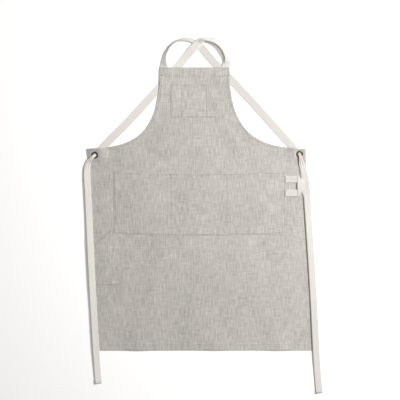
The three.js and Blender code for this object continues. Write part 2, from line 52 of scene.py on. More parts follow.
LINEN = 0.9         # one layer with its nap, in millimetres as all the sizes here
LAYER = 0.6         # thickness of the bare cloth inside the turned edges
HEM_EXTRA = 0.5     # what a turned edge adds to one layer
HEM_SLOPE = 2.2
SIDE_HEM = 8
BOTTOM_HEM = 19
BIB_FACING = 28
HEM_DEPTHS = (SIDE_HEM, BOTTOM_HEM, BIB_FACING)
FULLY_TURNED = 0.98
SEAM_INSIDE = 1.3   # from the inner edge of a turned hem out to its row of stitches
EDGE_ROUND = 1.2
EDGE_TRIM = 0.4     # share of its thickness that a soft edge loses on each face

BIB_TOP = {"y": 467.5, "middle": -25.3, "width": 219}
WAIST = {"y": 212, "middle": -19.8, "width": 688}
HEM = {"y": -423, "middle": 4, "width": 688.5}
ARMHOLE = {"bib_handle": 205, "side_handle": 158, "side_rise": 3}

# Where the panel's grid has its lines, from an edge inwards, and how many there are between.
EDGE_LINES = [0, 0.35, 1.2, 3, 5, 6, 6.7, 7.4, 8.4, 10.2, 13, 16, 20, 25]
TOP_LINES = [0, 0.35, 1.2, 3, 6, 10, 15, 20, 24, 26, 26.7, 27.4, 28.4, 30.4]
BOTTOM_LINES = [0, 0.35, 1.2, 3, 6, 10, 14, 16.5, 17.7, 18.4, 19.4, 21.4, 25, 29]
INNER_COLUMNS = 122
ARMHOLE_ROWS = 84
SKIRT_ROWS = 118
SIDE_POINTS = 49        # along each armhole, to measure distances from
FINE_STEPS = 4001       # along an armhole, to find where the grid's rows meet it

# Soft folds: the highest point, the way the fold runs in degrees, and its size.
FOLDS = [
    {"x": -205, "y": -423, "turn": 86, "length": 95, "width": 34, "height": 3.2},
    {"x": 36, "y": -423, "turn": 92, "length": 80, "width": 40, "height": 2.4},
    {"x": 236, "y": -423, "turn": 95, "length": 105, "width": 36, "height": 3.0},
    {"x": -150, "y": -210, "turn": 82, "length": 80, "width": 26, "height": 2.0},
    {"x": 168, "y": -190, "turn": 98, "length": 90, "width": 28, "height": 2.2},
    {"x": -122, "y": 262, "turn": 55, "length": 60, "width": 22, "height": 2.4},
    {"x": 88, "y": 258, "turn": 122, "length": 60, "width": 22, "height": 2.4},
]
FOLD_FLOOR = 0.12   # share of a fold's height that the surface presses flat

# Tape that lies behind the panel and lifts it: the crossed straps, then their sewn ends.
TAPE_WIDTH = 25
LYING_TAPE = 1.5
SEWN_TAPE = 3.2
RIDGES = [
    {"start": (-70, 479), "end": (-150, 386), "height": LYING_TAPE},
    {"start": (46, 474), "end": (98, 420), "height": LYING_TAPE},
    {"start": (-121.7, 474), "end": (-121.7, 440), "height": SEWN_TAPE},
    {"start": (73.3, 474), "end": (73.3, 437), "height": SEWN_TAPE},
    {"start": (-308, 222), "end": (-338, 192), "height": LYING_TAPE},
    {"start": (272, 228), "end": (304, 195), "height": LYING_TAPE},
]
RIDGE_SHELF = 4     # how far the cloth stays up beside the tape, then the width of its slope down
RIDGE_SLOPE = 40

# The eyelets lift the side corners, and each tips towards the tie that comes out of it.
EYELETS = {
    "left": {"x": -338.4, "y": 191.5, "out": (-0.7, -0.714)},
    "right": {"x": 304.4, "y": 194.7, "out": (0.47, -0.883)},
}
EYELET_TILT = math.radians(11)
EYELET_HOLE = 7.4
PLUG_HALF = 12      # half the length of the plug that cuts the hole
PLUG_SEGMENTS = 48
SEAT = {"height": 4.6, "flat": 17, "reach": 46}


def smooth(value, low, high):
    share = np.clip((value - low) / (high - low), 0, 1)
    return share * share * (3 - 2 * share)


def between(a, b, share):
    return a + (b - a) * share


def side_x(level, side):
    return level["middle"] + side * level["width"] / 2


panel_low, panel_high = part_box("apron_panel")
ORIGIN = np.array([panel_low[0] - MM * side_x(WAIST, -1), panel_low[1] - MM * HEM["y"], panel_low[2]])


def armhole(side, t):
    """Points of one armhole's edge, from the bib corner at t = 0 to the side corner at t = 1."""
    bib_x = side_x(BIB_TOP, side)
    corner_x = side_x(WAIST, side)
    xs = [bib_x, bib_x, corner_x - side * ARMHOLE["side_handle"], corner_x]
    ys = [BIB_TOP["y"], BIB_TOP["y"] - ARMHOLE["bib_handle"], WAIST["y"] + ARMHOLE["side_rise"], WAIST["y"]]
    weights = [(1 - t) ** 3, 3 * t * (1 - t) ** 2, 3 * t * t * (1 - t), t**3]
    return sum(w * x for w, x in zip(weights, xs)), sum(w * y for w, y in zip(weights, ys))


def skirt_edge(side, y):
    down = (WAIST["y"] - y) / (WAIST["y"] - HEM["y"])
    return between(side_x(WAIST, side), side_x(HEM, side), down)


def side_line(side):
    """The whole side edge as points: the armhole, then the skirt's straight side."""
    xs, ys = armhole(side, np.linspace(0, 1, SIDE_POINTS))
    corner = (side_x(HEM, side), HEM["y"])
    return [*zip(xs, ys), corner]


def distance_to_line(x, y, line):
    nearest = np.full(np.shape(x), np.inf)
    for (x1, y1), (x2, y2) in zip(line, line[1:]):
        span_x = x2 - x1
        span_y = y2 - y1
        along = ((x - x1) * span_x + (y - y1) * span_y) / (span_x**2 + span_y**2)
        along = np.clip(along, 0, 1)
        away = np.hypot(x - x1 - along * span_x, y - y1 - along * span_y)
        nearest = np.minimum(nearest, away)
    return nearest


SIDE_LINES = [side_line(-1), side_line(1)]


def edge_distances(x, y):
    """How far points are from the side edges, the bottom edge and the top edge."""
    from_side = np.minimum(*[distance_to_line(x, y, line) for line in SIDE_LINES])
    return from_side, y - HEM["y"], BIB_TOP["y"] - y


def turned_under(x, y):
    """1 where the cloth is turned under, and 0 where it is one layer."""
    shares = [1 - smooth(d, depth, depth + HEM_SLOPE) for d, depth in zip(edge_distances(x, y), HEM_DEPTHS)]
    return np.maximum.reduce(shares)


def uneven(x, y, width, length, seed):
    """Soft unevenness from -1 to 1, in patches of about that width and length."""
    points = zip(np.ravel(x) / width, np.ravel(y) / length)
    values = [noise.noise(Vector((a, b, seed))) for a, b in points]
    return np.reshape(values, np.shape(x))


def fold_lift(x, y, fold):
    angle = math.radians(fold["turn"])
    along = (x - fold["x"]) * math.cos(angle) + (y - fold["y"]) * math.sin(angle)
    across = (y - fold["y"]) * math.cos(angle) - (x - fold["x"]) * math.sin(angle)
    share = np.exp(-((along / fold["length"]) ** 2) - (across / fold["width"]) ** 2)
    return fold["height"] * np.maximum(0, share - FOLD_FLOOR)


def ridge_lift(x, y, ridge):
    away = distance_to_line(x, y, [ridge["start"], ridge["end"]])
    shelf = TAPE_WIDTH / 2 + RIDGE_SHELF
    return ridge["height"] * (1 - smooth(away, shelf, shelf + RIDGE_SLOPE))


LOOSE_LIE = 0.8     # how far washed linen lifts off the surface between its folds
LOOSE_PATCH = (55, 130, 3.7)    # width, length and seed of the unevenness


def panel_under(x, y):
    """Underside of the panel: on the surface, raised by folds, by tape behind it and by the eyelets."""
    height = sum(fold_lift(x, y, fold) for fold in FOLDS)
    for ridge in RIDGES:
        height = np.maximum(height, ridge_lift(x, y, ridge))
    height = height + LOOSE_LIE * (0.5 + 0.5 * uneven(x, y, *LOOSE_PATCH))
    for eyelet in EYELETS.values():
        outward = (x - eyelet["x"]) * eyelet["out"][0] + (y - eyelet["y"]) * eyelet["out"][1]
        plane = np.maximum(SEAT["height"] - math.tan(EYELET_TILT) * outward, 0)
        away = np.hypot(x - eyelet["x"], y - eyelet["y"])
        height = between(height, plane, 1 - smooth(away, SEAT["flat"], SEAT["reach"]))
    return height


DENT_DEPTH = 0.3
DENT_REACH = 1.5


def dent(distance):
    """How deep a row of stitches pulls the cloth in, that far from the row."""
    return DENT_DEPTH * np.exp(-((distance / DENT_REACH) ** 2))


PUCKER = 0.4        # small waves that a row of stitches draws into the cloth beside it
PUCKER_REACH = 7
PUCKER_PATCH = (7, 7, 11.3)


def panel_over(x, y):
    """Upper face of the panel, with its turned edges, stitched rows and puckers."""
    over = panel_under(x, y) + LINEN + HEM_EXTRA * turned_under(x, y)
    rows = [distance - depth + SEAM_INSIDE for distance, depth in zip(edge_distances(x, y), HEM_DEPTHS)]
    beside = np.maximum.reduce([np.exp(-((row / PUCKER_REACH) ** 2)) for row in rows])
    over = over + PUCKER * beside * (0.5 + uneven(x, y, *PUCKER_PATCH))
    return over - np.maximum.reduce([dent(row) for row in rows])


def round_edge(from_edge, thickness):
    """How much a soft folded edge takes off each face, that far from the edge."""
    share = np.clip(1 - from_edge / EDGE_ROUND, 0, 1)
    return EDGE_TRIM * thickness * (1 - np.sqrt(1 - share * share))


def panel_grid():
    """The panel's grid as x and y of each crossing, rows from the bib down and columns to the right."""
    t = np.linspace(0, 1, FINE_STEPS)
    drop = BIB_TOP["y"] - armhole(-1, t)[1]
    bib_steps = np.interp(TOP_LINES, drop, t)
    armhole_steps = np.linspace(bib_steps[-1], 1, ARMHOLE_ROWS + 1)[1:]
    steps = np.concatenate([bib_steps, armhole_steps])
    left_x, row_y = armhole(-1, steps)
    right_x, row_y = armhole(1, steps)
    length = WAIST["y"] - HEM["y"]
    even_drops = np.linspace(EDGE_LINES[-1], length - BOTTOM_LINES[-1], SKIRT_ROWS)
    drops = np.concatenate([EDGE_LINES[2:-1], even_drops, length - np.array(BOTTOM_LINES[-2::-1])])
    skirt_y = WAIST["y"] - drops
    left_x = np.concatenate([left_x, skirt_edge(-1, skirt_y)])[:, None]
    right_x = np.concatenate([right_x, skirt_edge(1, skirt_y)])[:, None]
    row_y = np.concatenate([row_y, skirt_y])[:, None]
    edge = np.array(EDGE_LINES)[None, :]
    inner = np.linspace(0, 1, INNER_COLUMNS + 2)[None, 1:-1]
    middle_x = between(left_x + edge[0, -1], right_x - edge[0, -1], inner)
    x = np.concatenate([left_x + edge, middle_x, right_x - edge[:, ::-1]], axis=1)
    return x, np.broadcast_to(row_y, x.shape)


def new_object(name, data):
    made = bpy.data.objects.new(name, data)
    bpy.context.scene.collection.objects.link(made)
    return made


def new_piece(name, vertices, faces):
    mesh = bpy.data.meshes.new(name)
    mesh.from_pydata(vertices, [], faces)
    mesh.polygons.foreach_set("use_smooth", [True] * len(mesh.polygons))
    mesh.update()
    return new_object(name, mesh)


def cloth_piece(name, x, y, under, over):
    """A closed sheet over a grid of points, from its underside to its upper face."""
    rows, columns = x.shape
    count = rows * columns
    upper = np.stack([x, y, over], axis=-1).reshape(-1, 3)
    lower = np.stack([x, y, under], axis=-1).reshape(-1, 3)
    vertices = np.concatenate([upper, lower]) * MM + ORIGIN
    index = np.arange(count).reshape(rows, columns)
    corners = [index[1:, :-1], index[1:, 1:], index[:-1, 1:], index[:-1, :-1]]
    top = np.stack(corners, axis=-1).reshape(-1, 4)
    border = [*index[:, 0], *index[-1, 1:], *index[-2::-1, -1], *index[0, -2:0:-1]]
    around = [(a, a + count, b + count, b) for a, b in zip(border, border[1:] + border[:1])]
    faces = [*top.tolist(), *(top[:, ::-1] + count).tolist(), *around]
    return new_piece(name, vertices.tolist(), faces)


def settled_mesh(piece):
    """The plain mesh that a piece and its modifiers make."""
    graph = bpy.context.evaluated_depsgraph_get()
    return bpy.data.meshes.new_from_object(piece.evaluated_get(graph))


def eyelet_place(eyelet):
    """The matrix that takes an eyelet from the origin to its tilted seat."""
    lean = math.sin(EYELET_TILT)
    axis = Vector((eyelet["out"][0] * lean, eyelet["out"][1] * lean, math.cos(EYELET_TILT)))
    turn = Vector((0, 0, 1)).rotation_difference(axis).to_matrix().to_4x4()
    middle = ORIGIN + MM * np.array([eyelet["x"], eyelet["y"], SEAT["height"] + LINEN / 2])
    return Matrix.Translation(Vector(middle)) @ turn


def turned_piece(name, profile, segments, closed):
    """A piece turned on the Z axis from a profile of (radius, height), with flat ends unless closed."""
    angles = np.linspace(0, 2 * math.pi, segments, endpoint=False)
    vertices = [(r * MM * math.cos(a), r * MM * math.sin(a), z * MM) for r, z in profile for a in angles]
    faces = []
    rings = len(profile)
    for ring in range(rings if closed else rings - 1):
        here = ring * segments
        over = ((ring + 1) % rings) * segments
        for k in range(segments):
            beside = (k + 1) % segments
            faces.append((here + k, here + beside, over + beside, over + k))
    if not closed:
        faces.append(tuple(range(segments))[::-1])
        faces.append(tuple((rings - 1) * segments + k for k in range(segments)))
    return new_piece(name, vertices, faces)


def cut_eyelet_hole(piece, eyelet):
    profile = [(EYELET_HOLE, -PLUG_HALF), (EYELET_HOLE, PLUG_HALF)]
    plug = turned_piece("hole_plug", profile, PLUG_SEGMENTS, closed=False)
    plug.data.transform(eyelet_place(eyelet))
    cut = piece.modifiers.new("Eyelet hole", "BOOLEAN")
    cut.object = plug
    cut.solver = "EXACT"
    mesh = settled_mesh(piece)
    piece.modifiers.clear()
    piece.data = mesh
    bpy.data.objects.remove(plug)


def set_inputs(tree, node, inputs):
    """Sets or links a node's inputs, by name or number."""
    for key, value in inputs.items():
        if isinstance(value, bpy.types.NodeSocket):
            tree.links.new(value, node.inputs[key])
        else:
            node.inputs[key].default_value = value


def add_node(tree, kind, inputs=None, **settings):
    node = tree.nodes.new(kind)
    for name, value in settings.items():
        setattr(node, name, value)
    set_inputs(tree, node, inputs or {})
    return node


def calc(tree, operation, *values):
    return add_node(tree, "ShaderNodeMath", dict(enumerate(values)), operation=operation).outputs[0]


def patches(tree, place, scale, detail=2.0):
    """Noise from 0 to 1 in patches, as many to the metre each way as scale says."""
    spread = add_node(tree, "ShaderNodeMapping", {"Vector": place, "Scale": scale})
    return add_node(
        tree, "ShaderNodeTexNoise", {"Vector": spread.outputs[0], "Scale": 1.0, "Detail": detail}
    ).outputs[0]


def mix_colours(tree, share, first, second):
    """The first colour where share is 0, and the second where it is 1."""
    colours = {"Factor": share, 6: first, 7: second}
    return add_node(tree, "ShaderNodeMix", colours, data_type="RGBA").outputs[2]


def shade_colour(tree, colour, tone):
    return add_node(tree, "ShaderNodeVectorMath", {0: colour, "Scale": tone}, operation="SCALE").outputs[0]


def new_group(name, inputs, outputs, kind="ShaderNodeTree"):
    """An empty node group with named sockets, and its ends."""
    tree = bpy.data.node_groups.new(name, kind)
    for way, sockets in (("INPUT", inputs), ("OUTPUT", outputs)):
        for socket, holds in sockets.items():
            tree.interface.new_socket(socket, in_out=way, socket_type=f"NodeSocket{holds}")
    return tree, tree.nodes.new("NodeGroupInput"), tree.nodes.new("NodeGroupOutput")


# Thick and thin yarns: how many patches to the metre each way, detail of the noise, and depth of the shade.
SLUBS = {
    "warp": ((320, 28, 1), 3.0, 1.1),
    "fine": ((800, 40, 1), 2.0, 0.6),
    "weft": ((28, 320, 1), 3.0, 0.75),
    "cloud": ((9, 6, 1), 2.0, 0.35),
}
SLUB_MEAN = 1.4
YARN_DRIFT = 1.6        # how far the yarns wander, in widths of a yarn


def linen_weave():
    """Plain weave with thick and thin yarns: mostly slubs up the warp, some across it."""
    tree, inlet, outlet = new_group(
        "Linen weave",
        {"Place": "Vector", "Warp": "Color", "Weft": "Color", "Yarn Width": "Float", "Slub Depth": "Float"},
        {"Colour": "Color", "Height": "Float", "Roughness": "Float"},
    )
    place = inlet.outputs["Place"]
    split = add_node(tree, "ShaderNodeSeparateXYZ", {0: place})
    drift = patches(tree, place, (60, 60, 1))
    waves = []
    for axis in ("X", "Y"):
        yarns = calc(tree, "DIVIDE", split.outputs[axis], inlet.outputs["Yarn Width"])
        drifted = calc(tree, "ADD", yarns, calc(tree, "MULTIPLY", drift, YARN_DRIFT))
        waves.append(calc(tree, "SINE", calc(tree, "MULTIPLY", drifted, math.pi)))
    crossing = calc(tree, "MULTIPLY", *waves)
    warp_up = add_node(
        tree,
        "ShaderNodeMapRange",
        {"Value": crossing, "From Min": -0.4, "From Max": 0.4},
        interpolation_type="SMOOTHSTEP",
    ).outputs[0]
    tone = 0.0
    slubs = {}
    for name, (scale, detail, depth) in SLUBS.items():
        slubs[name] = patches(tree, place, scale, detail)
        tone = calc(tree, "MULTIPLY_ADD", slubs[name], depth, tone)
    tone = calc(tree, "SUBTRACT", tone, SLUB_MEAN)
    shade = calc(tree, "MULTIPLY_ADD", tone, inlet.outputs["Slub Depth"], 1.0)
    yarn = mix_colours(tree, warp_up, inlet.outputs["Weft"], inlet.outputs["Warp"])
    colour = shade_colour(tree, yarn, shade)
    crown = calc(tree, "POWER", calc(tree, "ABSOLUTE", crossing), 0.5)
    height = calc(tree, "MULTIPLY_ADD", slubs["warp"], 0.5, calc(tree, "MULTIPLY", crown, 0.5))
    rough = calc(tree, "MULTIPLY_ADD", tone, 0.12, 0.9)
    set_inputs(tree, outlet, {"Colour": colour, "Height": height, "Roughness": rough})
    return tree


def new_material(name):
    material = bpy.data.materials.new(name)
    material.use_nodes = True
    return material, material.node_tree, material.node_tree.nodes["Principled BSDF"]


def raise_surface(tree, shader, height, strength, distance):
    bump = add_node(
        tree, "ShaderNodeBump", {"Height": height, "Strength": strength, "Distance": distance * MM}
    )
    tree.links.new(bump.outputs[0], shader.inputs["Normal"])


LINEN_WEAVE = linen_weave()
WARP_COLOUR = (0.352, 0.324, 0.298, 1)
WEFT_COLOUR = (0.58, 0.557, 0.534, 1)
YARN_WIDTH = 0.85
SLUB_DEPTH = 0.8


def linen_material(name, shift):
    """Washed linen. Each cut piece has its own shift, so that its slubs don't run on from the next."""
    material, tree, shader = new_material(name)
    place = add_node(tree, "ShaderNodeTexCoord").outputs["Object"]
    moved = add_node(tree, "ShaderNodeMapping", {"Vector": place, "Location": shift})
    yarns = {"Warp": WARP_COLOUR, "Weft": WEFT_COLOUR, "Yarn Width": YARN_WIDTH * MM}
    look = {"Place": moved.outputs[0], "Slub Depth": SLUB_DEPTH, **yarns}
    weave = add_node(tree, "ShaderNodeGroup", look, node_tree=LINEN_WEAVE)
    woven = {"Base Color": weave.outputs["Colour"], "Roughness": weave.outputs["Roughness"]}
    set_inputs(tree, shader, {**woven, "Sheen Weight": 0.12, "Specular IOR Level": 0.25})
    raise_surface(tree, shader, weave.outputs["Height"], strength=0.4, distance=0.25)
    return material


def dress(piece, material):
    """Gives a finished piece its material and its slot, and lets it ride on the apron."""
    piece.data.materials.clear()
    piece.data.materials.append(material)
    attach(piece, BODY)


grid_x, grid_y = panel_grid()
grid_over = panel_over(grid_x, grid_y)
grid_under = panel_under(grid_x, grid_y)
grid_turned = turned_under(grid_x, grid_y)
bare_under = np.maximum(grid_over - LAYER, grid_under)
grid_under = np.where(grid_turned > FULLY_TURNED, grid_under, bare_under)
grid_edge = np.minimum.reduce(edge_distances(grid_x, grid_y))
grid_round = round_edge(grid_edge, LINEN + HEM_EXTRA)
panel = cloth_piece("panel", grid_x, grid_y, grid_under + grid_round, grid_over - grid_round)
for eyelet in EYELETS.values():
    cut_eyelet_hole(panel, eyelet)
dress(panel, linen_material("Panel linen", (0, 0, 0)))
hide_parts("apron_panel")


# Straps and ties
# Two lengths of cream cotton twill tape. Each is sewn behind one end of the bib, makes a loop for the
# shoulder, crosses the other behind the bib, is drawn through an eyelet and hangs down as a tie.

TAPE = 1.2
GATHERED = {"width": 8.4, "thick": 3.2, "edge": 0.5}
PLEAT = {"depth": 0.4, "half_way": 5, "waves": 3, "wander": 40}     # deepest where it is half gathered
STRAP_STEP = 4.5
END_HEM = 11        # the tie's end, turned under once
END_SLOPE = 1.5
END_EXTRA = 0.9     # what the turned end adds to the tape, as a share of its thickness
FOLD_ROUND = 1.4    # how far the bend at a fold reaches to each side of it
FOLD_POINTS = 201   # across the tape, to work out the bend
ACROSS = np.concatenate([[-1, -0.985, -0.95], np.linspace(-0.88, 0.88, 23), [0.95, 0.985, 1]])
SOFT_EDGE = 1 - 0.6 * np.abs(ACROSS) ** 24      # the tape thins only at its very edges

# Columns: x and y of the tape's middle as seen from above, height of its lowest edge, how far its left and
# right side turn down from a fold along it in degrees, where the fold is across it, gathering from 0 to 1.
# The last four columns are the same all along where the tape lies flat, and where a tie is creased.
FLAT = (0, 0, 0, 0)
CREASED = (12, 62, 0.62, 0)
LEFT_SHOULDER = [
    (-121.7, 442, 1.6, *FLAT),
    (-121.7, 470, 1.6, 0, 0, 0.6, 0),
    (-121.6, 479, 1.1, 16, 66, 0.55, 0),
    (-121.6, 490.5, 0.3, 20, 145, 0.2, 0),
    (-118, 509.5, 0.1, 26, 151, 0, 0),
    (-111.6, 522, 0.1, 40, 137, 0, 0),
    (-104.4, 533, 0.1, 51, 126, 0, 0),
    (-90, 545.5, 0.1, 56, 121, 0, 0),
    (-71.4, 553.4, 0.1, 56, 121, 0, 0),
    (-55.7, 555.8, 0, 38, 138, 0, 0),
    (-40, 553.6, 0, 16, 160, 0, 0),
    (-25, 546.8, 0, 3, 172, 0.12, 0),
    (-8, 534, 0, 0, 170, 1.2, 0),
    (10.4, 512.6, 0, 0, 0, 1.2, 0),
    (34, 485, 0, *FLAT),
    (52.8, 466, 0, *FLAT),
    (119.5, 396.3, 0, *FLAT),
    (189, 320.8, 0, *FLAT),
    (256.6, 245.3, 0, *FLAT),
    (283.4, 216.5, 0, 0, 0, 0, 0.15),
    (293.2, 206, 0, 0, 0, 0, 0.75),
    (298.8, 200.4, 0, 0, 0, 0, 1),
    (304, 194.8, 3.8, 0, 0, 0, 1),
    (306.6, 187, 7.4, 0, 0, 0, 0.95),
    (308.2, 179, 6.4, 0, 0, 0, 0.8),
    (311.9, 160.4, 2.9, 2, 14, 0.5, 0.35),
    (317.2, 138.4, 2.1, 4, 36, 0.6, 0.05),
    (320.4, 120, 2.2, 2, 16, 0.62, 0),
    (322.5, 107, 2.3, 0, 0, 0.62, 0),
    (325.4, 76, 2.2, 0, 0, 0.62, 0),
    (327.4, 54, 2.0, 8, 52, 0.62, 0),
    (332, -10, 2.0, *CREASED),
    (340.5, -138, 2.0, *CREASED),
    (348.7, -280, 2.0, *CREASED),
    (355.2, -414, 2.0, *CREASED),
    (357.4, -452, 1.3, *CREASED),
    (360, -490, 0.1, *CREASED),
    (365.4, -556, 0.1, *CREASED),
]
RIGHT_SHOULDER = [
    (73.3, 439, 1.6, *FLAT),
    (73.3, 468, 1.6, 0, 0, -0.4, 0),
    (74.2, 477, 2.4, 8, 4, -0.4, 0),
    (75.7, 489, 4.4, 42, 12, -0.35, 0),
    (75.4, 499.5, 6.2, 52, 14, -0.3, 0),
    (71.2, 510.5, 7.8, 54, 17, -0.26, 0),
    (65.9, 521.8, 9, 55, 17, -0.28, 0),
    (58.3, 532.5, 9.4, 55, 16, -0.3, 0),
    (44.8, 544.2, 8.8, 55, 16, -0.3, 0),
    (34.2, 549.6, 8, 56, 18, -0.27, 0),
    (23.9, 552.4, 7, 62, 34, -0.2, 0),
    (15.2, 553.8, 6.2, 68, 42, -0.15, 0),
    (6, 554.3, 5.4, 70, 48, -0.1, 0),
    (-4, 550.3, 5, 36, 28, -0.05, 0),
    (-12, 543, 5, 8, 8, 0, 0),
    (-26, 530, 5, *FLAT),
    (-52.5, 500.5, 1.2, *FLAT),
    (-74, 474.5, 0, *FLAT),
    (-102.8, 440.3, 0, *FLAT),
    (-177.1, 358.5, 0, *FLAT),
    (-234.6, 295.6, 0, *FLAT),
    (-297.8, 232.7, 0, *FLAT),
    (-317.4, 213, 0, 0, 0, 0, 0.15),
    (-327.2, 202.9, 0, 0, 0, 0, 0.75),
    (-332.8, 197.2, 0, 0, 0, 0, 1),
    (-338.4, 191.5, 3.6, 0, 0, 0, 1),
    (-344, 185.8, 7.3, 0, 0, 0, 0.95),
    (-349.7, 179.9, 6.4, 0, 0, 0, 0.8),
    (-359, 167.3, 3.0, 3, 10, 0.3, 0.4),
    (-363.8, 150, 2.3, 10, 48, 0.6, 0.08),
    (-364.2, 129, 2.0, *CREASED),
    (-360.7, 60, 2.0, *CREASED),
    (-356.1, -40, 2.1, *CREASED),
    (-354.1, -84, 3.4, *CREASED),
    (-352.7, -114, 3.4, *CREASED),
    (-347.1, -226, 3.0, *CREASED),
    (-345.1, -264, 2.1, *CREASED),
    (-336.3, -414, 2.0, *CREASED),
    (-333.9, -450, 1.3, *CREASED),
    (-331.7, -484, 0.1, *CREASED),
    (-328.1, -526, 0.1, *CREASED),
]


def curve_through(points, spans, counts):
    """Points on a smooth curve through all the points; spans are the steps between them."""
    first = 2 * points[0] - points[1]
    last = 2 * points[-1] - points[-2]
    points = np.concatenate([[first], points, [last]])
    spans = np.concatenate([[spans[0]], spans, [spans[-1]]])
    samples = []
    for i, count in enumerate(counts):
        before, start, end, after = points[i : i + 4]
        step_in, step, step_out = spans[i : i + 3]
        chord = (end - start) / step
        leave = (start - before) / step_in - (end - before) / (step_in + step) + chord
        arrive = chord - (after - start) / (step + step_out) + (after - end) / step_out
        for t in np.arange(count) / count:
            rise = t * t * (3 - 2 * t)
            pull_out = step * leave * t * (1 - t) ** 2
            pull_in = step * arrive * t * t * (t - 1)
            samples.append(between(start, end, rise) + pull_out + pull_in)
    return np.array([*samples, points[-2]])


def pose_between(poses, counts):
    """How the tape lies at each section, going gently from one station to the next."""
    samples = []
    for start, end, count in zip(poses, poses[1:], counts):
        shares = smooth(np.arange(count) / count, 0, 1)
        samples.append(between(start, end, shares[:, None]))
    return np.concatenate([*samples, poses[-1:]])


def tape_section(pose, thickness, wander):
    """The tape's outline, sideways and upwards: over its face from left to right, then back underneath."""
    left, right, fold, gather = pose
    half_width = between(TAPE_WIDTH, GATHERED["width"], gather) / 2
    half_thick = between(thickness, GATHERED["thick"], gather) / 2
    fine = np.linspace(-1, 1, FOLD_POINTS)
    bend = smooth((fine - fold) * half_width, -FOLD_ROUND, FOLD_ROUND)
    slope = between(math.radians(left), -math.radians(right), bend)
    step = half_width * (fine[1] - fine[0])
    across = np.interp(ACROSS, fine, np.cumsum(np.cos(slope)) * step)
    rise = np.interp(ACROSS, fine, np.cumsum(np.sin(slope)) * step)
    slope = np.interp(ACROSS, fine, slope)
    rounded = np.maximum(np.sqrt(1 - ACROSS**2), GATHERED["edge"])
    half = half_thick * between(SOFT_EDGE, rounded, gather)
    deep = PLEAT["depth"] * (gather + PLEAT["half_way"] * gather * (1 - gather))
    rise += deep * np.cos(PLEAT["waves"] * math.pi * ACROSS + wander)
    out_x = half * np.sin(slope)
    out_z = half * np.cos(slope)
    sideways = np.concatenate([across - out_x, (across + out_x)[::-1]])
    upwards = np.concatenate([rise + out_z, (rise - out_z)[::-1]])
    return sideways - (sideways.min() + sideways.max()) / 2, upwards


def strap_rings(stations):
    """Rings of points round the tape, section by section, and the length at each section."""
    table = np.array(stations, float)
    lengths = np.linalg.norm(np.diff(table[:, :3], axis=0), axis=1)
    counts = np.maximum(np.ceil(lengths / STRAP_STEP).astype(int), 3)
    route = curve_through(table[:, :3], np.sqrt(lengths), counts)
    poses = pose_between(table[:, 3:], counts)
    travel = np.gradient(route, axis=0)
    travel /= np.linalg.norm(travel, axis=1)[:, None]
    steps = np.linalg.norm(np.diff(route, axis=0), axis=1)
    along = np.concatenate([[0], np.cumsum(steps)])
    rings = []
    for place, way, pose, length in zip(route, travel, poses, along):
        side = np.array([way[1], -way[0], 0])
        side /= np.linalg.norm(side)
        up = np.cross(side, way)
        turned_end = 1 - smooth(along[-1] - length, END_HEM, END_HEM + END_SLOPE)
        thickness = TAPE * float(1 + END_EXTRA * turned_end)
        sideways, upwards = tape_section(pose, thickness, length / PLEAT["wander"])
        ring = sideways[:, None] * side + upwards[:, None] * up
        middle = np.array([place[0], place[1], max(place[2], 0) - ring[:, 2].min()])
        rings.append(ring + middle)
    return np.array(rings), along


def tape_piece(name, rings, along, width):
    """A closed length of tape from its rings, with a UV map in metres across and along it."""
    sections, ring = rings.shape[:2]
    half = ring // 2
    vertices = rings.reshape(-1, 3) * MM + ORIGIN
    here = np.arange(sections * ring).reshape(sections, ring)
    beside = np.roll(here, -1, axis=1)
    walls = np.stack([here[:-1], beside[:-1], beside[1:], here[1:]], axis=-1).reshape(-1, 4)
    start = [(k + 1, k, ring - 1 - k, ring - 2 - k) for k in range(half - 1)]
    tail = (sections - 1) * ring
    end = [tuple(tail + k for k in face[::-1]) for face in start]
    piece = new_piece(name, vertices.tolist(), [*walls.tolist(), *start, *end])
    soft = [True] * len(walls) + [False] * (len(start) + len(end))
    piece.data.polygons.foreach_set("use_smooth", soft)
    shares = np.concatenate([ACROSS, ACROSS[::-1]])
    across = np.broadcast_to(shares * width / 2, (sections, ring))
    length = np.broadcast_to(np.asarray(along)[:, None], (sections, ring))
    places = np.stack([across, length], axis=-1).reshape(-1, 2) * MM
    corners = np.empty(len(piece.data.loops), int)
    piece.data.loops.foreach_get("vertex_index", corners)
    tape_map = piece.data.uv_layers.new(name="Tape")
    tape_map.data.foreach_set("uv", places[corners].ravel())
    return piece


def twill_weave():
    """Herringbone twill: ribs that slant one way, then the other, in strips along the tape."""
    tree, inlet, outlet = new_group(
        "Tape twill",
        {"Place": "Vector", "Rib": "Color", "Ground": "Color", "Rib Width": "Float", "Strip Width": "Float"},
        {"Colour": "Color", "Height": "Float"},
    )
    place = inlet.outputs["Place"]
    split = add_node(tree, "ShaderNodeSeparateXYZ", {0: place})
    zigzag = calc(tree, "PINGPONG", split.outputs["X"], inlet.outputs["Strip Width"])
    slanted = calc(tree, "DIVIDE", calc(tree, "ADD", zigzag, split.outputs["Y"]), inlet.outputs["Rib Width"])
    wave = calc(tree, "SINE", calc(tree, "MULTIPLY", slanted, 2 * math.pi))
    rib = calc(tree, "MULTIPLY_ADD", wave, 0.5, 0.5)
    yarn = patches(tree, place, (900, 60, 1), 3.0)
    soil = patches(tree, place, (40, 7, 1), 3.0)
    mixed = mix_colours(tree, rib, inlet.outputs["Ground"], inlet.outputs["Rib"])
    tone = calc(tree, "MULTIPLY_ADD", yarn, 0.16, calc(tree, "MULTIPLY_ADD", soil, 0.14, 0.85))
    colour = shade_colour(tree, mixed, tone)
    height = calc(tree, "MULTIPLY_ADD", yarn, 0.4, rib)
    set_inputs(tree, outlet, {"Colour": colour, "Height": height})
    return tree


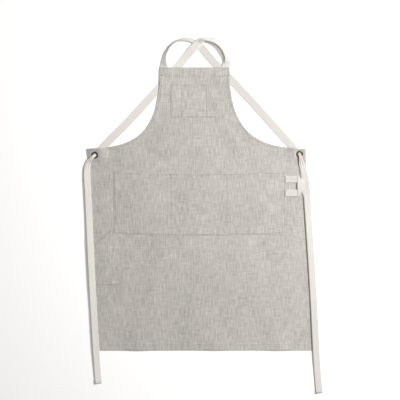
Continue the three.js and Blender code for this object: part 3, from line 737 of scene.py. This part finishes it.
TWILL_WEAVE = twill_weave()
TAPE_RIB = (0.67, 0.645, 0.615)
TAPE_GROUND = (0.567, 0.54, 0.503)
RIB_WIDTH = 1.3
STRIP_WIDTH = 4.2


def tape_material(name, painted_lightness):
    """Undyed cotton tape, its cream scaled for each length: lighter on the strap that runs down the left
    side, away from the key light, as painted light, and darker on the one nearer the key, as painted shade.
    """
    material, tree, shader = new_material(name)
    place = add_node(tree, "ShaderNodeUVMap", uv_map="Tape").outputs[0]
    rib = (*[painted_lightness * part for part in TAPE_RIB], 1)
    ground = (*[painted_lightness * part for part in TAPE_GROUND], 1)
    ribs = {"Rib": rib, "Ground": ground, "Rib Width": RIB_WIDTH * MM, "Strip Width": STRIP_WIDTH * MM}
    weave = add_node(tree, "ShaderNodeGroup", {"Place": place, **ribs}, node_tree=TWILL_WEAVE)
    cotton = {"Roughness": 0.88, "Sheen Weight": 0.15, "Specular IOR Level": 0.25}
    set_inputs(tree, shader, {"Base Color": weave.outputs["Colour"], **cotton})
    raise_surface(tree, shader, weave.outputs["Height"], strength=0.35, distance=0.2)
    return material


# The second number in each entry paints light into that strap's cream. The strap from the right runs down the
# left side, away from the key light, and is made lighter. The strap from the left lies nearer the key and is
# made a little darker.
STRAPS = {
    "strap_from_left": (LEFT_SHOULDER, 0.97, ["strap_left_loop", "strap_left_back", "tie_right"]),
    "strap_from_right": (RIGHT_SHOULDER, 1.12, ["strap_right_loop", "strap_right_back", "tie_left"]),
}
strap_tops = {}
for name, (stations, painted_lightness, nodes) in STRAPS.items():
    rings, along = strap_rings(stations)
    strap = tape_piece(name, rings, along, TAPE_WIDTH)
    dress(strap, tape_material(f"Cotton tape of {name}", painted_lightness))
    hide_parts(*nodes)
    strap_tops[name] = (rings[:, : len(ACROSS)], along)


# Eyelets
# Two set eyelets of dark antique brass in the side corners: a domed flange in front, a barrel through
# the hole in the linen, and a flat washer behind that the barrel's end is rolled over.

EYELET_INNER = 6.3
EYELET_BARREL = 6.9
EYELET_FLANGE = 10.8
EYELET_FRONT = 1.5
EYELET_BACK = 0.9
EYELET_CLEAR = 0.5      # between the metal and the linen that it holds
WASHER_IN = 0.4         # how much smaller the washer is than the flange
WASHER_ROUND = 0.2
ROLL = {"start": 0.5, "crest": 1.4, "end": 2.4, "height": 0.25}     # the barrel's end on the washer
THROAT_FOOT = 0.3       # share of the washer that the throat goes down into
DOME_FULLNESS = 0.7
DOME_STEPS = 10
EYELET_SEGMENTS = 72
PATINA = (0.045, 0.035, 0.02, 1)
BARE_BRASS = (0.26, 0.19, 0.085, 1)
RUBBED_FROM = 0.75      # share of the flange's height above which the patina is rubbed


def eyelet_profile():
    """The set eyelet's section, round from the barrel's foot: washer, barrel, domed flange, throat."""
    cloth = LINEN / 2 + EYELET_CLEAR
    washer = EYELET_FLANGE - WASHER_IN
    below = -cloth - EYELET_BACK
    back = [(EYELET_INNER + ROLL["start"], below), (EYELET_INNER + ROLL["crest"], below - ROLL["height"])]
    back += [(EYELET_INNER + ROLL["end"], below), (washer - WASHER_ROUND, below)]
    back += [(washer, below + WASHER_ROUND), (washer, -cloth)]
    barrel = [(EYELET_BARREL, -cloth), (EYELET_BARREL, cloth)]
    crest = (EYELET_INNER + EYELET_FLANGE) / 2
    half = (EYELET_FLANGE - EYELET_INNER) / 2
    angles = np.linspace(0, math.pi, DOME_STEPS + 1)
    heights = [cloth + EYELET_FRONT * math.sin(a) ** DOME_FULLNESS for a in angles]
    dome = [(crest + half * math.cos(a), height) for a, height in zip(angles, heights)]
    throat = (EYELET_INNER, -cloth - THROAT_FOOT * EYELET_BACK)
    return [*back, *barrel, *dome, throat]


def antique_brass():
    """Brass under a dark brown patina, which handling has rubbed off the crest of the flange."""
    material, tree, shader = new_material("Antique brass")
    place = add_node(tree, "ShaderNodeTexCoord").outputs["Object"]
    rubbed = add_node(tree, "ShaderNodeAttribute", attribute_name="rubbed").outputs["Fac"]
    mottle = patches(tree, place, (700, 700, 700), 4.0)
    bare = calc(tree, "MULTIPLY", rubbed, mottle)
    colour = mix_colours(tree, bare, PATINA, BARE_BRASS)
    rough = calc(tree, "MULTIPLY_ADD", mottle, 0.3, 0.28)
    set_inputs(tree, shader, {"Base Color": colour, "Roughness": rough, "Metallic": 1})
    raise_surface(tree, shader, mottle, strength=0.15, distance=0.1)
    return material


brass = antique_brass()
for side, eyelet in EYELETS.items():
    grommet = turned_piece(f"eyelet_{side}", eyelet_profile(), EYELET_SEGMENTS, closed=True)
    crest = MM * (LINEN / 2 + EYELET_CLEAR + RUBBED_FROM * EYELET_FRONT)
    rubbed = grommet.data.attributes.new("rubbed", "FLOAT", "POINT")
    rubbed.data.foreach_set("value", [float(v.co.z > crest) for v in grommet.data.vertices])
    grommet.data.transform(eyelet_place(eyelet))
    dress(grommet, brass)
    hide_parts(f"grommet_{side}")


# Patch pockets
# Three linen patches with turned edges, sewn flat to the panel: a wide one at the waist in three
# compartments, a small one on the bib with a slot at each side, and one low on the left with a slanted mouth.

POCKET_LAYER = 0.4
POCKET_EXTRA = 0.1      # what its turned edges add, pressed flat
POCKET_GAP = 0.1
POCKET_LEAST = 0.2      # least thickness, where a row of stitches pulls the patch in
POCKET_PUCKER = 0.3
POCKET_PUCKER_REACH = 6
POCKET_PUCKER_PATCH = (8, 8, 2.9)
SLACK = {"mean": 0.75, "spread": 0.5, "patch": (45, 90, 5.1)}
CROWN_FULLNESS = 0.8    # below 1 the crown is flatter in the middle and steeper at the seams
FULL_STAND = 0.95       # how far up the pocket stands off by all of its crown
POCKET_EDGE = 7         # turned edge at the sides and foot
# A narrow mouth hem, so that the row of dark thread along it lies near the mouth's edge and paints the shade
# there.
MOUTH_HEM = 4
POCKET_SEAM = 3         # from the pocket's edge to its stitches
SEAM_LINES = [0, 0.5, 1.3, 2.2, 3, 3.8, 5, 7, 9]
WAIST_POCKET = {"seams": [-279.3, -99.7, 75.5, 260.4], "top": 138, "foot": -55, "sag": 6, "crown": 0.9}
CHEST_POCKET = {"seams": [-101, -66.7, 11.3, 44.5], "top": 414, "foot": 309.5, "sag": 0, "crown": 0.7}
SIDE_POCKET = {"right": -257, "top": -62, "foot": -218, "inset": 4, "peak": (-285, -42), "low": -94}
SIDE_CROWN = 1.5
SIDE_HEIGHT = 150               # that its grid lines are laid out on, before they stretch to the mouth
MOUTH_STEP = 3                  # width of the step down from the peak
SIDE_GRID = {"columns": 3, "rows": 4}
SIDE_MOUTH_ROWS = (1.2, 2.3)    # two rows of stitches along the slanted mouth, from its edge; they lie close to the edge so that their dark thread paints the shade at the mouth


def fine_ends(start, end, step):
    """Places from start to end: close together at both ends as SEAM_LINES says, and even between."""
    lines = np.array(SEAM_LINES)
    count = max(int((end - start - 2 * lines[-1]) / step), 2)
    inner = np.linspace(start + lines[-1], end - lines[-1], count)
    return np.concatenate([start + lines[:-1], inner, end - lines[-2::-1]])


def pocket_drop(pocket, x):
    seams = pocket["seams"]
    share = (x - seams[0]) / (seams[-1] - seams[0])
    return pocket["sag"] * (1 - (2 * share - 1) ** 2)


def pocket_stand(pocket, x, y):
    """How far the pocket stands off the panel: held down at its seams and foot, open at its mouth."""
    seams = np.array(pocket["seams"])
    i = np.clip(np.searchsorted(seams, x) - 1, 0, len(seams) - 2)
    share = np.clip((x - seams[i]) / (seams[i + 1] - seams[i]), 0, 1)
    up = (y + pocket_drop(pocket, x) - pocket["foot"]) / (pocket["top"] - pocket["foot"])
    slack = SLACK["mean"] + SLACK["spread"] * uneven(x, y, *SLACK["patch"])
    crown = pocket["crown"] * slack * np.sin(math.pi * share) ** CROWN_FULLNESS
    return crown * smooth(up, 0, FULL_STAND)


def patch_over(x, y, stand, from_mouth, from_edge, rows):
    """Upper face of a patch on the panel; rows are the distances to its rows of stitches."""
    mouth = 1 - smooth(from_mouth, MOUTH_HEM, MOUTH_HEM + HEM_SLOPE)
    edge = 1 - smooth(from_edge, POCKET_EDGE, POCKET_EDGE + HEM_SLOPE)
    thick = POCKET_LAYER + POCKET_EXTRA * np.maximum(mouth, edge)
    nearest = np.minimum.reduce([np.abs(row) for row in rows])
    beside = np.exp(-((nearest / POCKET_PUCKER_REACH) ** 2))
    waves = POCKET_PUCKER * beside * (0.5 + uneven(x, y, *POCKET_PUCKER_PATCH))
    return panel_over(x, y) + POCKET_GAP + stand + thick + waves - dent(nearest)


def patch_piece(name, x, y, stand, over, from_any_edge):
    under = panel_over(x, y) + POCKET_GAP + stand
    trim = round_edge(from_any_edge, POCKET_LAYER + POCKET_EXTRA)
    return cloth_piece(name, x, y, np.minimum(under + trim, over - trim - POCKET_LEAST), over - trim)


def seamed_over(pocket, x, y, inner_seams):
    """Upper face of a pocket with straight seams, and the distance to its nearest edge."""
    seams = pocket["seams"]
    drop = pocket_drop(pocket, x)
    from_mouth = pocket["top"] - drop - y
    from_foot = y - pocket["foot"] + drop
    from_edge = np.minimum.reduce([x - seams[0], seams[-1] - x, from_foot])
    rows = [x - seam for seam in inner_seams]
    rows += [from_edge - POCKET_SEAM, from_mouth - MOUTH_HEM + SEAM_INSIDE]
    stand = pocket_stand(pocket, x, y)
    over = patch_over(x, y, stand, from_mouth, from_edge, rows)
    return stand, over, np.minimum(from_edge, from_mouth)


def seamed_grid(pocket, step):
    seams = pocket["seams"]
    spans = [fine_ends(a, b, step) for a, b in zip(seams, seams[1:])]
    x = np.concatenate([spans[0], *[span[1:] for span in spans[1:]]])
    y = fine_ends(pocket["foot"], pocket["top"], step)[::-1]
    x, y = np.meshgrid(x, y)
    return x, y - pocket_drop(pocket, x)


WAIST_INNER_SEAMS = [-111, -99.7, 75.5, 249.4]
CHEST_INNER_SEAMS = [-66.7, 11.3]
pockets = {
    "waist_pocket": (WAIST_POCKET, WAIST_INNER_SEAMS, 5.0),
    "chest_pocket": (CHEST_POCKET, CHEST_INNER_SEAMS, 2.5),
}
for number, (name, (pocket, inner_seams, step)) in enumerate(pockets.items()):
    x, y = seamed_grid(pocket, step)
    stand, over, from_edge = seamed_over(pocket, x, y, inner_seams)
    patch = patch_piece(f"patch_{name}", x, y, stand, over, from_edge)
    dress(patch, linen_material(f"Linen of {name}", (0.37 + number, 0.21, 0)))
    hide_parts(name)


def side_pocket_left(y):
    return skirt_edge(-1, y) + SIDE_POCKET["inset"]


def square_to_mouth():
    """Distance square to the slanted mouth, for each millimetre straight down from it."""
    peak_x, peak_y = SIDE_POCKET["peak"]
    run = peak_x - side_pocket_left(SIDE_POCKET["foot"])
    return run / math.hypot(run, peak_y - SIDE_POCKET["low"])


def side_pocket_mouth(x):
    """The slanted mouth, from its low end at the side seam up to its peak, then level to the right."""
    peak_x, peak_y = SIDE_POCKET["peak"]
    low_x = side_pocket_left(SIDE_POCKET["foot"])
    slant = between(SIDE_POCKET["low"], peak_y, (x - low_x) / (peak_x - low_x))
    step_down = smooth(x, peak_x, peak_x + MOUTH_STEP)
    return between(slant, SIDE_POCKET["top"], step_down)


def side_pocket_over(x, y):
    left = side_pocket_left(y)
    share = np.clip((x - left) / (SIDE_POCKET["right"] - left), 0, 1)
    mouth = side_pocket_mouth(x)
    from_mouth = (mouth - y) * square_to_mouth()
    from_foot = y - SIDE_POCKET["foot"]
    from_edge = np.minimum.reduce([x - left, SIDE_POCKET["right"] - x, from_foot])
    up = from_foot / (mouth - SIDE_POCKET["foot"])
    stand = SIDE_CROWN * np.sin(math.pi * share) * smooth(up, 0, FULL_STAND)
    rows = [from_edge - POCKET_SEAM, *[from_mouth - depth for depth in SIDE_MOUTH_ROWS]]
    over = patch_over(x, y, stand, from_mouth, from_edge, rows)
    return stand, over, np.minimum(from_edge, from_mouth)


def side_pocket_grid():
    foot = SIDE_POCKET["foot"]
    left = side_pocket_left(foot)
    places = fine_ends(left, SIDE_POCKET["right"], SIDE_GRID["columns"])
    peak_x = SIDE_POCKET["peak"][0]
    at_peak = peak_x + np.array([-1, *np.linspace(0, MOUTH_STEP, 5)])
    places = np.unique(np.concatenate([places, at_peak]))
    up = fine_ends(0, SIDE_HEIGHT, SIDE_GRID["rows"])[::-1] / SIDE_HEIGHT
    share = (places - left) / (SIDE_POCKET["right"] - left)
    y = foot + up[:, None] * (side_pocket_mouth(places) - foot)[None, :]
    lean = (side_pocket_left(y) - left) * (1 - share)[None, :]
    return places[None, :] + lean, y


x, y = side_pocket_grid()
stand, over, from_edge = side_pocket_over(x, y)
side_patch = patch_piece("patch_side_pocket", x, y, stand, over, from_edge)
dress(side_patch, linen_material("Linen of side_pocket", (0.83, 0.55, 0)))
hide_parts("side_pocket")


# Towel loop
# One short length of the same tape, folded over at two corners into a U that lies over the right tie.
# Its two ends are caught in the waist pocket's right seam.

LOOP_TAPE = 1.1
LOOP_WIDTH = 22
LOOP_LEFT = 258.4
LOOP_FOLD = 297.5       # inner side of the upright part
LOOP_OUTER = 126.7      # upper edge of the upper strip
LOOP_INNER = 61         # lower edge of the lower strip
LOOP_ROOT_HEIGHT = 2.3  # where the ends are caught in the seam of the pocket
LOOP_RISE = (0.1, 0.8)  # shares of a strip between which it rises from the seam
LOOP_LOW = 4.4
LAYER_GAP = 0.2
LOOP_HIGH = LOOP_LOW + LOOP_TAPE + LAYER_GAP
LOOP_LIFT = 2.5         # how far the tie lifts the outer edge of the upright part
STRIP_SECTIONS = 14
FOLD_STEPS = 6


def loop_sections():
    """Both edges of the tape and its facing at each section, from the upper strip round to the lower."""
    sections = []
    out = LOOP_FOLD + LOOP_WIDTH
    down = np.array([0, 0, -1.0])
    for share in np.linspace(0, 1, STRIP_SECTIONS):
        outer_x = between(LOOP_LEFT, LOOP_FOLD, share)
        inner_x = between(LOOP_LEFT, out, share)
        height = between(LOOP_ROOT_HEIGHT, LOOP_LOW, float(smooth(share, *LOOP_RISE)))
        edge = np.array([outer_x, LOOP_OUTER, height])
        inner_edge = np.array([inner_x, LOOP_OUTER - LOOP_WIDTH, height])
        sections.append((edge, inner_edge, -down))
    radius = (LOOP_HIGH - LOOP_LOW) / 2
    outward = np.array([math.sqrt(0.5), math.sqrt(0.5), 0])
    first, second, _ = sections[-1]
    for angle in np.linspace(0, math.pi, FOLD_STEPS + 1)[1:]:
        shift = radius * math.sin(angle) * outward - radius * (1 - math.cos(angle)) * down
        facing = -math.cos(angle) * down - math.sin(angle) * outward
        lifted = -LOOP_LIFT * (1 - math.cos(angle)) / 2 * down
        sections.append((first + shift, second + shift + lifted, facing))
    middle_y = (LOOP_OUTER + LOOP_INNER) / 2
    flip = np.array([1, -1, 1])
    mirror = np.array([0, 2 * middle_y, 0])
    for first, second, facing in sections[::-1]:
        sections.append((first * flip + mirror, second * flip + mirror, facing * flip))
    return sections


def loop_rings():
    shares = (ACROSS + 1) / 2
    half = LOOP_TAPE / 2 * SOFT_EDGE
    rings = []
    along = [0.0]
    last = None
    for first, second, facing in loop_sections():
        across = first + shares[:, None] * (second - first)
        over = across + half[:, None] * facing
        under = across - half[:, None] * facing
        middle = (first + second) / 2
        if last is not None:
            along.append(along[-1] + float(np.linalg.norm(middle - last)))
        last = middle
        rings.append(np.concatenate([over, under[::-1]]))
    return np.array(rings), along


rings, along = loop_rings()
loop = tape_piece("loop_tape", rings, along, LOOP_WIDTH)
dress(loop, tape_material("Cotton tape of towel_loop", 1.0))
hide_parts("towel_loop")


# Stitches
# Rows of straight lockstitch hold the hems, the pockets and the ends of the ties. The thread is coloured dark
# brown, far darker than the linen, so the rows also paint the shade that falls in the stitched grooves.
# They are laid along the seams as short beads of thread that sink a little into the cloth.

STITCH_PITCH = 3.1
STITCH_LENGTH = 2.3
# Thicker than real topstitching, so that with its dark colour each row paints the shade of its groove.
THREAD = 0.8
THREAD_AND_SHADE_DARK = (0.1, 0.088, 0.073, 1)
THREAD_AND_SHADE_PALE = (0.22, 0.2, 0.175, 1)
STITCH_RISE = 0.12 * THREAD     # how far a stitch's middle lies above the cloth
ROW_STEP = 4                    # between the points that a row of stitches is drawn through
HEM_POINTS = 90
MOUTH_POINTS = 30
HEM_STOP = 4                    # how far rows stop short of an edge that they run up to
BOTTOM_STOP = 3
MOUTH_STOP = 2
BOX_INSET = 2.5                 # from the tape's edge in to the boxed row that holds its end
BOX_FOOT = {"left": 443, "right": 441}
END_SEAM = 2                    # from the inner edge of a tie's turned end to its row
LEAST_STITCH = (0.88, 0.9, 0.9)
MOST_STITCH = (1.06, 1.1, 1.1)


def stitch_tree():
    """Beads of thread along rows, with the pitch and the size that the modifier gives."""
    tree, inlet, outlet = new_group(
        "Stitch rows",
        {"Rows": "Geometry", "Pitch": "Float", "Length": "Float", "Thread": "Float", "Material": "Material"},
        {"Stitches": "Geometry"},
        "GeometryNodeTree",
    )
    given = inlet.outputs

    def made(kind, inputs=None, **settings):
        return add_node(tree, kind, inputs, **settings).outputs[0]

    spaced = {"Curve": given["Rows"], "Length": given["Pitch"]}
    points = made("GeometryNodeResampleCurve", spaced, mode="LENGTH")
    tangent = made("GeometryNodeInputTangent")
    turn = made("FunctionNodeAlignRotationToVector", {"Vector": tangent}, axis="X")
    size = made("ShaderNodeCombineXYZ", {0: given["Length"], 1: given["Thread"], 2: given["Thread"]})
    bead = made("GeometryNodeMeshUVSphere", {"Segments": 6, "Rings": 5, "Radius": 0.5})
    lying = made("GeometryNodeTransform", {"Geometry": bead, "Rotation": (0, math.pi / 2, 0)})
    stitch = made("GeometryNodeTransform", {"Geometry": lying, "Scale": size})
    limits = {0: LEAST_STITCH, 1: MOST_STITCH, "Seed": 4}
    vary = made("FunctionNodeRandomValue", limits, data_type="FLOAT_VECTOR")
    laid = {"Points": points, "Instance": stitch, "Rotation": turn, "Scale": vary}
    rows = made("GeometryNodeInstanceOnPoints", laid)
    real = made("GeometryNodeRealizeInstances", {"Geometry": rows})
    soft = made("GeometryNodeSetShadeSmooth", {"Geometry": real})
    dressed = made("GeometryNodeSetMaterial", {"Geometry": soft, "Material": given["Material"]})
    set_inputs(tree, outlet, {0: dressed})
    return tree


def thread_material():
    """Spun thread in dark brown with lighter and darker stretches and a fine twist; its dark colour also
    paints the shade in the stitched grooves.
    """
    material, tree, shader = new_material("Sewing thread and painted seam shade")
    place = add_node(tree, "ShaderNodeTexCoord").outputs["Object"]
    tone = patches(tree, place, (900, 900, 900), 2.0)
    colour = mix_colours(tree, tone, THREAD_AND_SHADE_DARK, THREAD_AND_SHADE_PALE)
    set_inputs(tree, shader, {"Base Color": colour, "Roughness": 0.7, "Sheen Weight": 0.1})
    raise_surface(tree, shader, tone, strength=0.2, distance=0.1)
    return material


STITCH_TREE = stitch_tree()
thread = thread_material()


def sew(name, rows):
    """Stitches along rows of points, each a list of (x, y, z) in millimetres."""
    line = bpy.data.curves.new(name, "CURVE")
    line.dimensions = "3D"
    for row in rows:
        spline = line.splines.new("POLY")
        spline.points.add(len(row) - 1)
        for point, place in zip(spline.points, row):
            point.co = (*(np.array(place) * MM + ORIGIN), 1)
    drawn = new_object(f"{name}_rows", line)
    sewing = drawn.modifiers.new("Stitch rows", "NODES")
    sewing.node_group = STITCH_TREE
    values = {
        "Pitch": STITCH_PITCH * MM,
        "Length": STITCH_LENGTH * MM,
        "Thread": THREAD * MM,
        "Material": thread,
    }
    for socket in STITCH_TREE.interface.items_tree:
        if socket.name in values:
            sewing[socket.identifier] = values[socket.name]
    mesh = settled_mesh(drawn)
    bpy.data.objects.remove(drawn)
    dress(new_object(name, mesh), thread)


def along_line(corners):
    """Points along straight lines from corner to corner."""
    points = []
    for (x1, y1), (x2, y2) in zip(corners, corners[1:]):
        count = max(int(math.hypot(x2 - x1, y2 - y1) / ROW_STEP), 1)
        shares = np.arange(count) / count
        points += [(between(x1, x2, s), between(y1, y2, s)) for s in shares]
    return [*points, corners[-1]]


def on_surface(points, surface):
    """Rows of points laid on a surface, which gives the height at each x and y."""
    x, y = np.array(points, float).T
    return list(zip(x, y, surface(x, y) + STITCH_RISE))


def hem_row(side):
    """The stitches inside one side edge: the armhole's curve, then straight down the skirt."""
    inset = SIDE_HEM - SEAM_INSIDE
    xs, ys = armhole(side, np.linspace(0, 1, HEM_POINTS))
    way_x = np.gradient(xs)
    way_y = np.gradient(ys)
    length = np.hypot(way_x, way_y)
    xs = xs - side * inset * -way_y / length
    ys = ys - inset * side * way_x / length
    inside = ys < BIB_TOP["y"] - inset
    curve = [(x, y) for x, y in zip(xs[inside], ys[inside]) if abs(x - skirt_edge(side, y)) > inset]
    start = (float(skirt_edge(side, WAIST["y"] - inset)) - side * inset, WAIST["y"] - inset)
    foot_y = HEM["y"] + HEM_STOP
    foot = (float(skirt_edge(side, foot_y)) - side * inset, foot_y)
    return [curve, along_line([start, foot])]


def box_row(middle_x, low_y):
    """A boxed row of stitches through the bib and the end of a strap behind it."""
    half = TAPE_WIDTH / 2 - BOX_INSET
    left = middle_x - half
    right = middle_x + half
    high_y = BIB_TOP["y"] - HEM_STOP
    return along_line([(left, low_y), (right, low_y), (right, high_y), (left, high_y), (left, low_y)])


bottom_y = HEM["y"] + BOTTOM_HEM - SEAM_INSIDE
bottom_ends = (skirt_edge(-1, bottom_y) + BOTTOM_STOP, skirt_edge(1, bottom_y) - BOTTOM_STOP)
bottom_row = along_line([(x, bottom_y) for x in bottom_ends])
facing_y = BIB_TOP["y"] - BIB_FACING + SEAM_INSIDE
facing_ends = (side_x(BIB_TOP, -1) + HEM_STOP, side_x(BIB_TOP, 1) - HEM_STOP)
facing_row = along_line([(x, facing_y) for x in facing_ends])
panel_rows = [*hem_row(-1), *hem_row(1), bottom_row, facing_row]
panel_rows.append(box_row(LEFT_SHOULDER[0][0], BOX_FOOT["left"]))
panel_rows.append(box_row(RIGHT_SHOULDER[0][0], BOX_FOOT["right"]))
sew("panel_stitches", [on_surface(row, panel_over) for row in panel_rows])


def pocket_rows(pocket, inner_seams):
    seams = pocket["seams"]
    left = seams[0] + POCKET_SEAM
    right = seams[-1] - POCKET_SEAM
    across = np.linspace(left, right, HEM_POINTS)
    drop = pocket_drop(pocket, across)
    mouth = [(x, pocket["top"] - MOUTH_HEM + SEAM_INSIDE - d) for x, d in zip(across, drop)]
    foot = [(x, pocket["foot"] + POCKET_SEAM - d) for x, d in zip(across, drop)]
    rows = [mouth, foot]
    for x in (left, *inner_seams, right):
        d = pocket_drop(pocket, x)
        low = pocket["foot"] + POCKET_SEAM - d
        rows.append(along_line([(x, low), (x, pocket["top"] - MOUTH_STOP - d)]))
    return rows


def pocket_face(pocket, inner_seams):
    """The height of a pocket's upper face, as a function of x and y."""
    return lambda x, y: seamed_over(pocket, x, y, inner_seams)[1]


for name, (pocket, inner_seams, _) in pockets.items():
    face = pocket_face(pocket, inner_seams)
    sew(f"{name}_stitches", [on_surface(row, face) for row in pocket_rows(pocket, inner_seams)])


def side_pocket_rows():
    foot_y = SIDE_POCKET["foot"] + POCKET_SEAM
    right = SIDE_POCKET["right"] - POCKET_SEAM
    left_foot = float(side_pocket_left(foot_y)) + POCKET_SEAM
    sides = along_line([(left_foot, foot_y), (right, foot_y), (right, SIDE_POCKET["top"] - MOUTH_STOP)])
    across = np.linspace(left_foot, SIDE_POCKET["peak"][0] - MOUTH_STOP, MOUTH_POINTS)
    rows = [sides]
    for depth in SIDE_MOUTH_ROWS:
        rows.append([(x, float(side_pocket_mouth(x)) - depth / square_to_mouth()) for x in across])
    return rows


def side_pocket_face(x, y):
    return side_pocket_over(x, y)[1]


sew("side_pocket_stitches", [on_surface(row, side_pocket_face) for row in side_pocket_rows()])

tie_rows = []
for tops, along in strap_tops.values():
    section = int(np.argmin(np.abs(along - (along[-1] - END_HEM + END_SEAM))))
    tie_rows.append([point + [0, 0, STITCH_RISE] for point in tops[section][2:-2]])
sew("tie_end_stitches", tie_rows)


# Floor, light and camera
# A plain white floor, a key light from the right at half height, a soft light overhead and a camera
# straight above that sees as much of the floor as the photograph does.

PHOTO_PIXELS = 400
PIXEL = 3.145           # millimetres of floor in one pixel of the photograph
PHOTO_MIDDLE = (-8.5, 50.3)
CAMERA_HEIGHT = 4.0     # in metres, as FLOOR_HALF
FLOOR_HALF = 4.0
SENSOR = 36


def white_floor():
    material, tree, shader = new_material("Floor")
    glow = {"Emission Color": (1, 1, 1, 1), "Emission Strength": 0.1}
    set_inputs(tree, shader, {"Base Color": (0.97, 0.97, 0.97, 1), "Roughness": 0.9, **glow})
    ends = (-FLOOR_HALF, FLOOR_HALF)
    corners = [(x, y, 0) for y in ends for x in ends]
    floor = new_piece("floor", corners, [(0, 1, 3, 2)])
    floor.data.materials.append(material)


def area_light(name, azimuth, elevation, distance, size, power, colour):
    """A square soft light that looks at the apron from that side and height."""
    light = bpy.data.lights.new(name, "AREA")
    light.energy = power
    light.size = size
    light.color = colour
    lamp = new_object(name, light)
    turn = math.radians(azimuth)
    rise = math.radians(elevation)
    out = Vector((math.cos(turn) * math.cos(rise), math.sin(turn) * math.cos(rise), math.sin(rise)))
    lamp.location = out * distance
    lamp.rotation_euler = out.to_track_quat("Z", "Y").to_euler()


white_floor()
area_light("Key", azimuth=28, elevation=43, distance=3.0, size=0.6, power=105, colour=(1.0, 0.997, 0.99))
area_light("Overhead", azimuth=60, elevation=80, distance=3.0, size=2.5, power=18, colour=(1.0, 1.0, 1.0))

world = bpy.data.worlds.new("Studio")
world.use_nodes = True
world.node_tree.nodes["Background"].inputs["Color"].default_value = (1.0, 0.975, 0.94, 1)
world.node_tree.nodes["Background"].inputs["Strength"].default_value = 0.21
bpy.context.scene.world = world
bpy.context.scene.view_settings.view_transform = "Standard"

camera = bpy.data.cameras.new("Camera")
camera.sensor_width = SENSOR
camera.lens = SENSOR * CAMERA_HEIGHT / (PHOTO_PIXELS * PIXEL * MM)
camera.clip_end = 50
viewer = new_object("Camera", camera)
viewer.location = (ORIGIN[0] + PHOTO_MIDDLE[0] * MM, ORIGIN[1] + PHOTO_MIDDLE[1] * MM, CAMERA_HEIGHT)
bpy.context.scene.camera = viewer
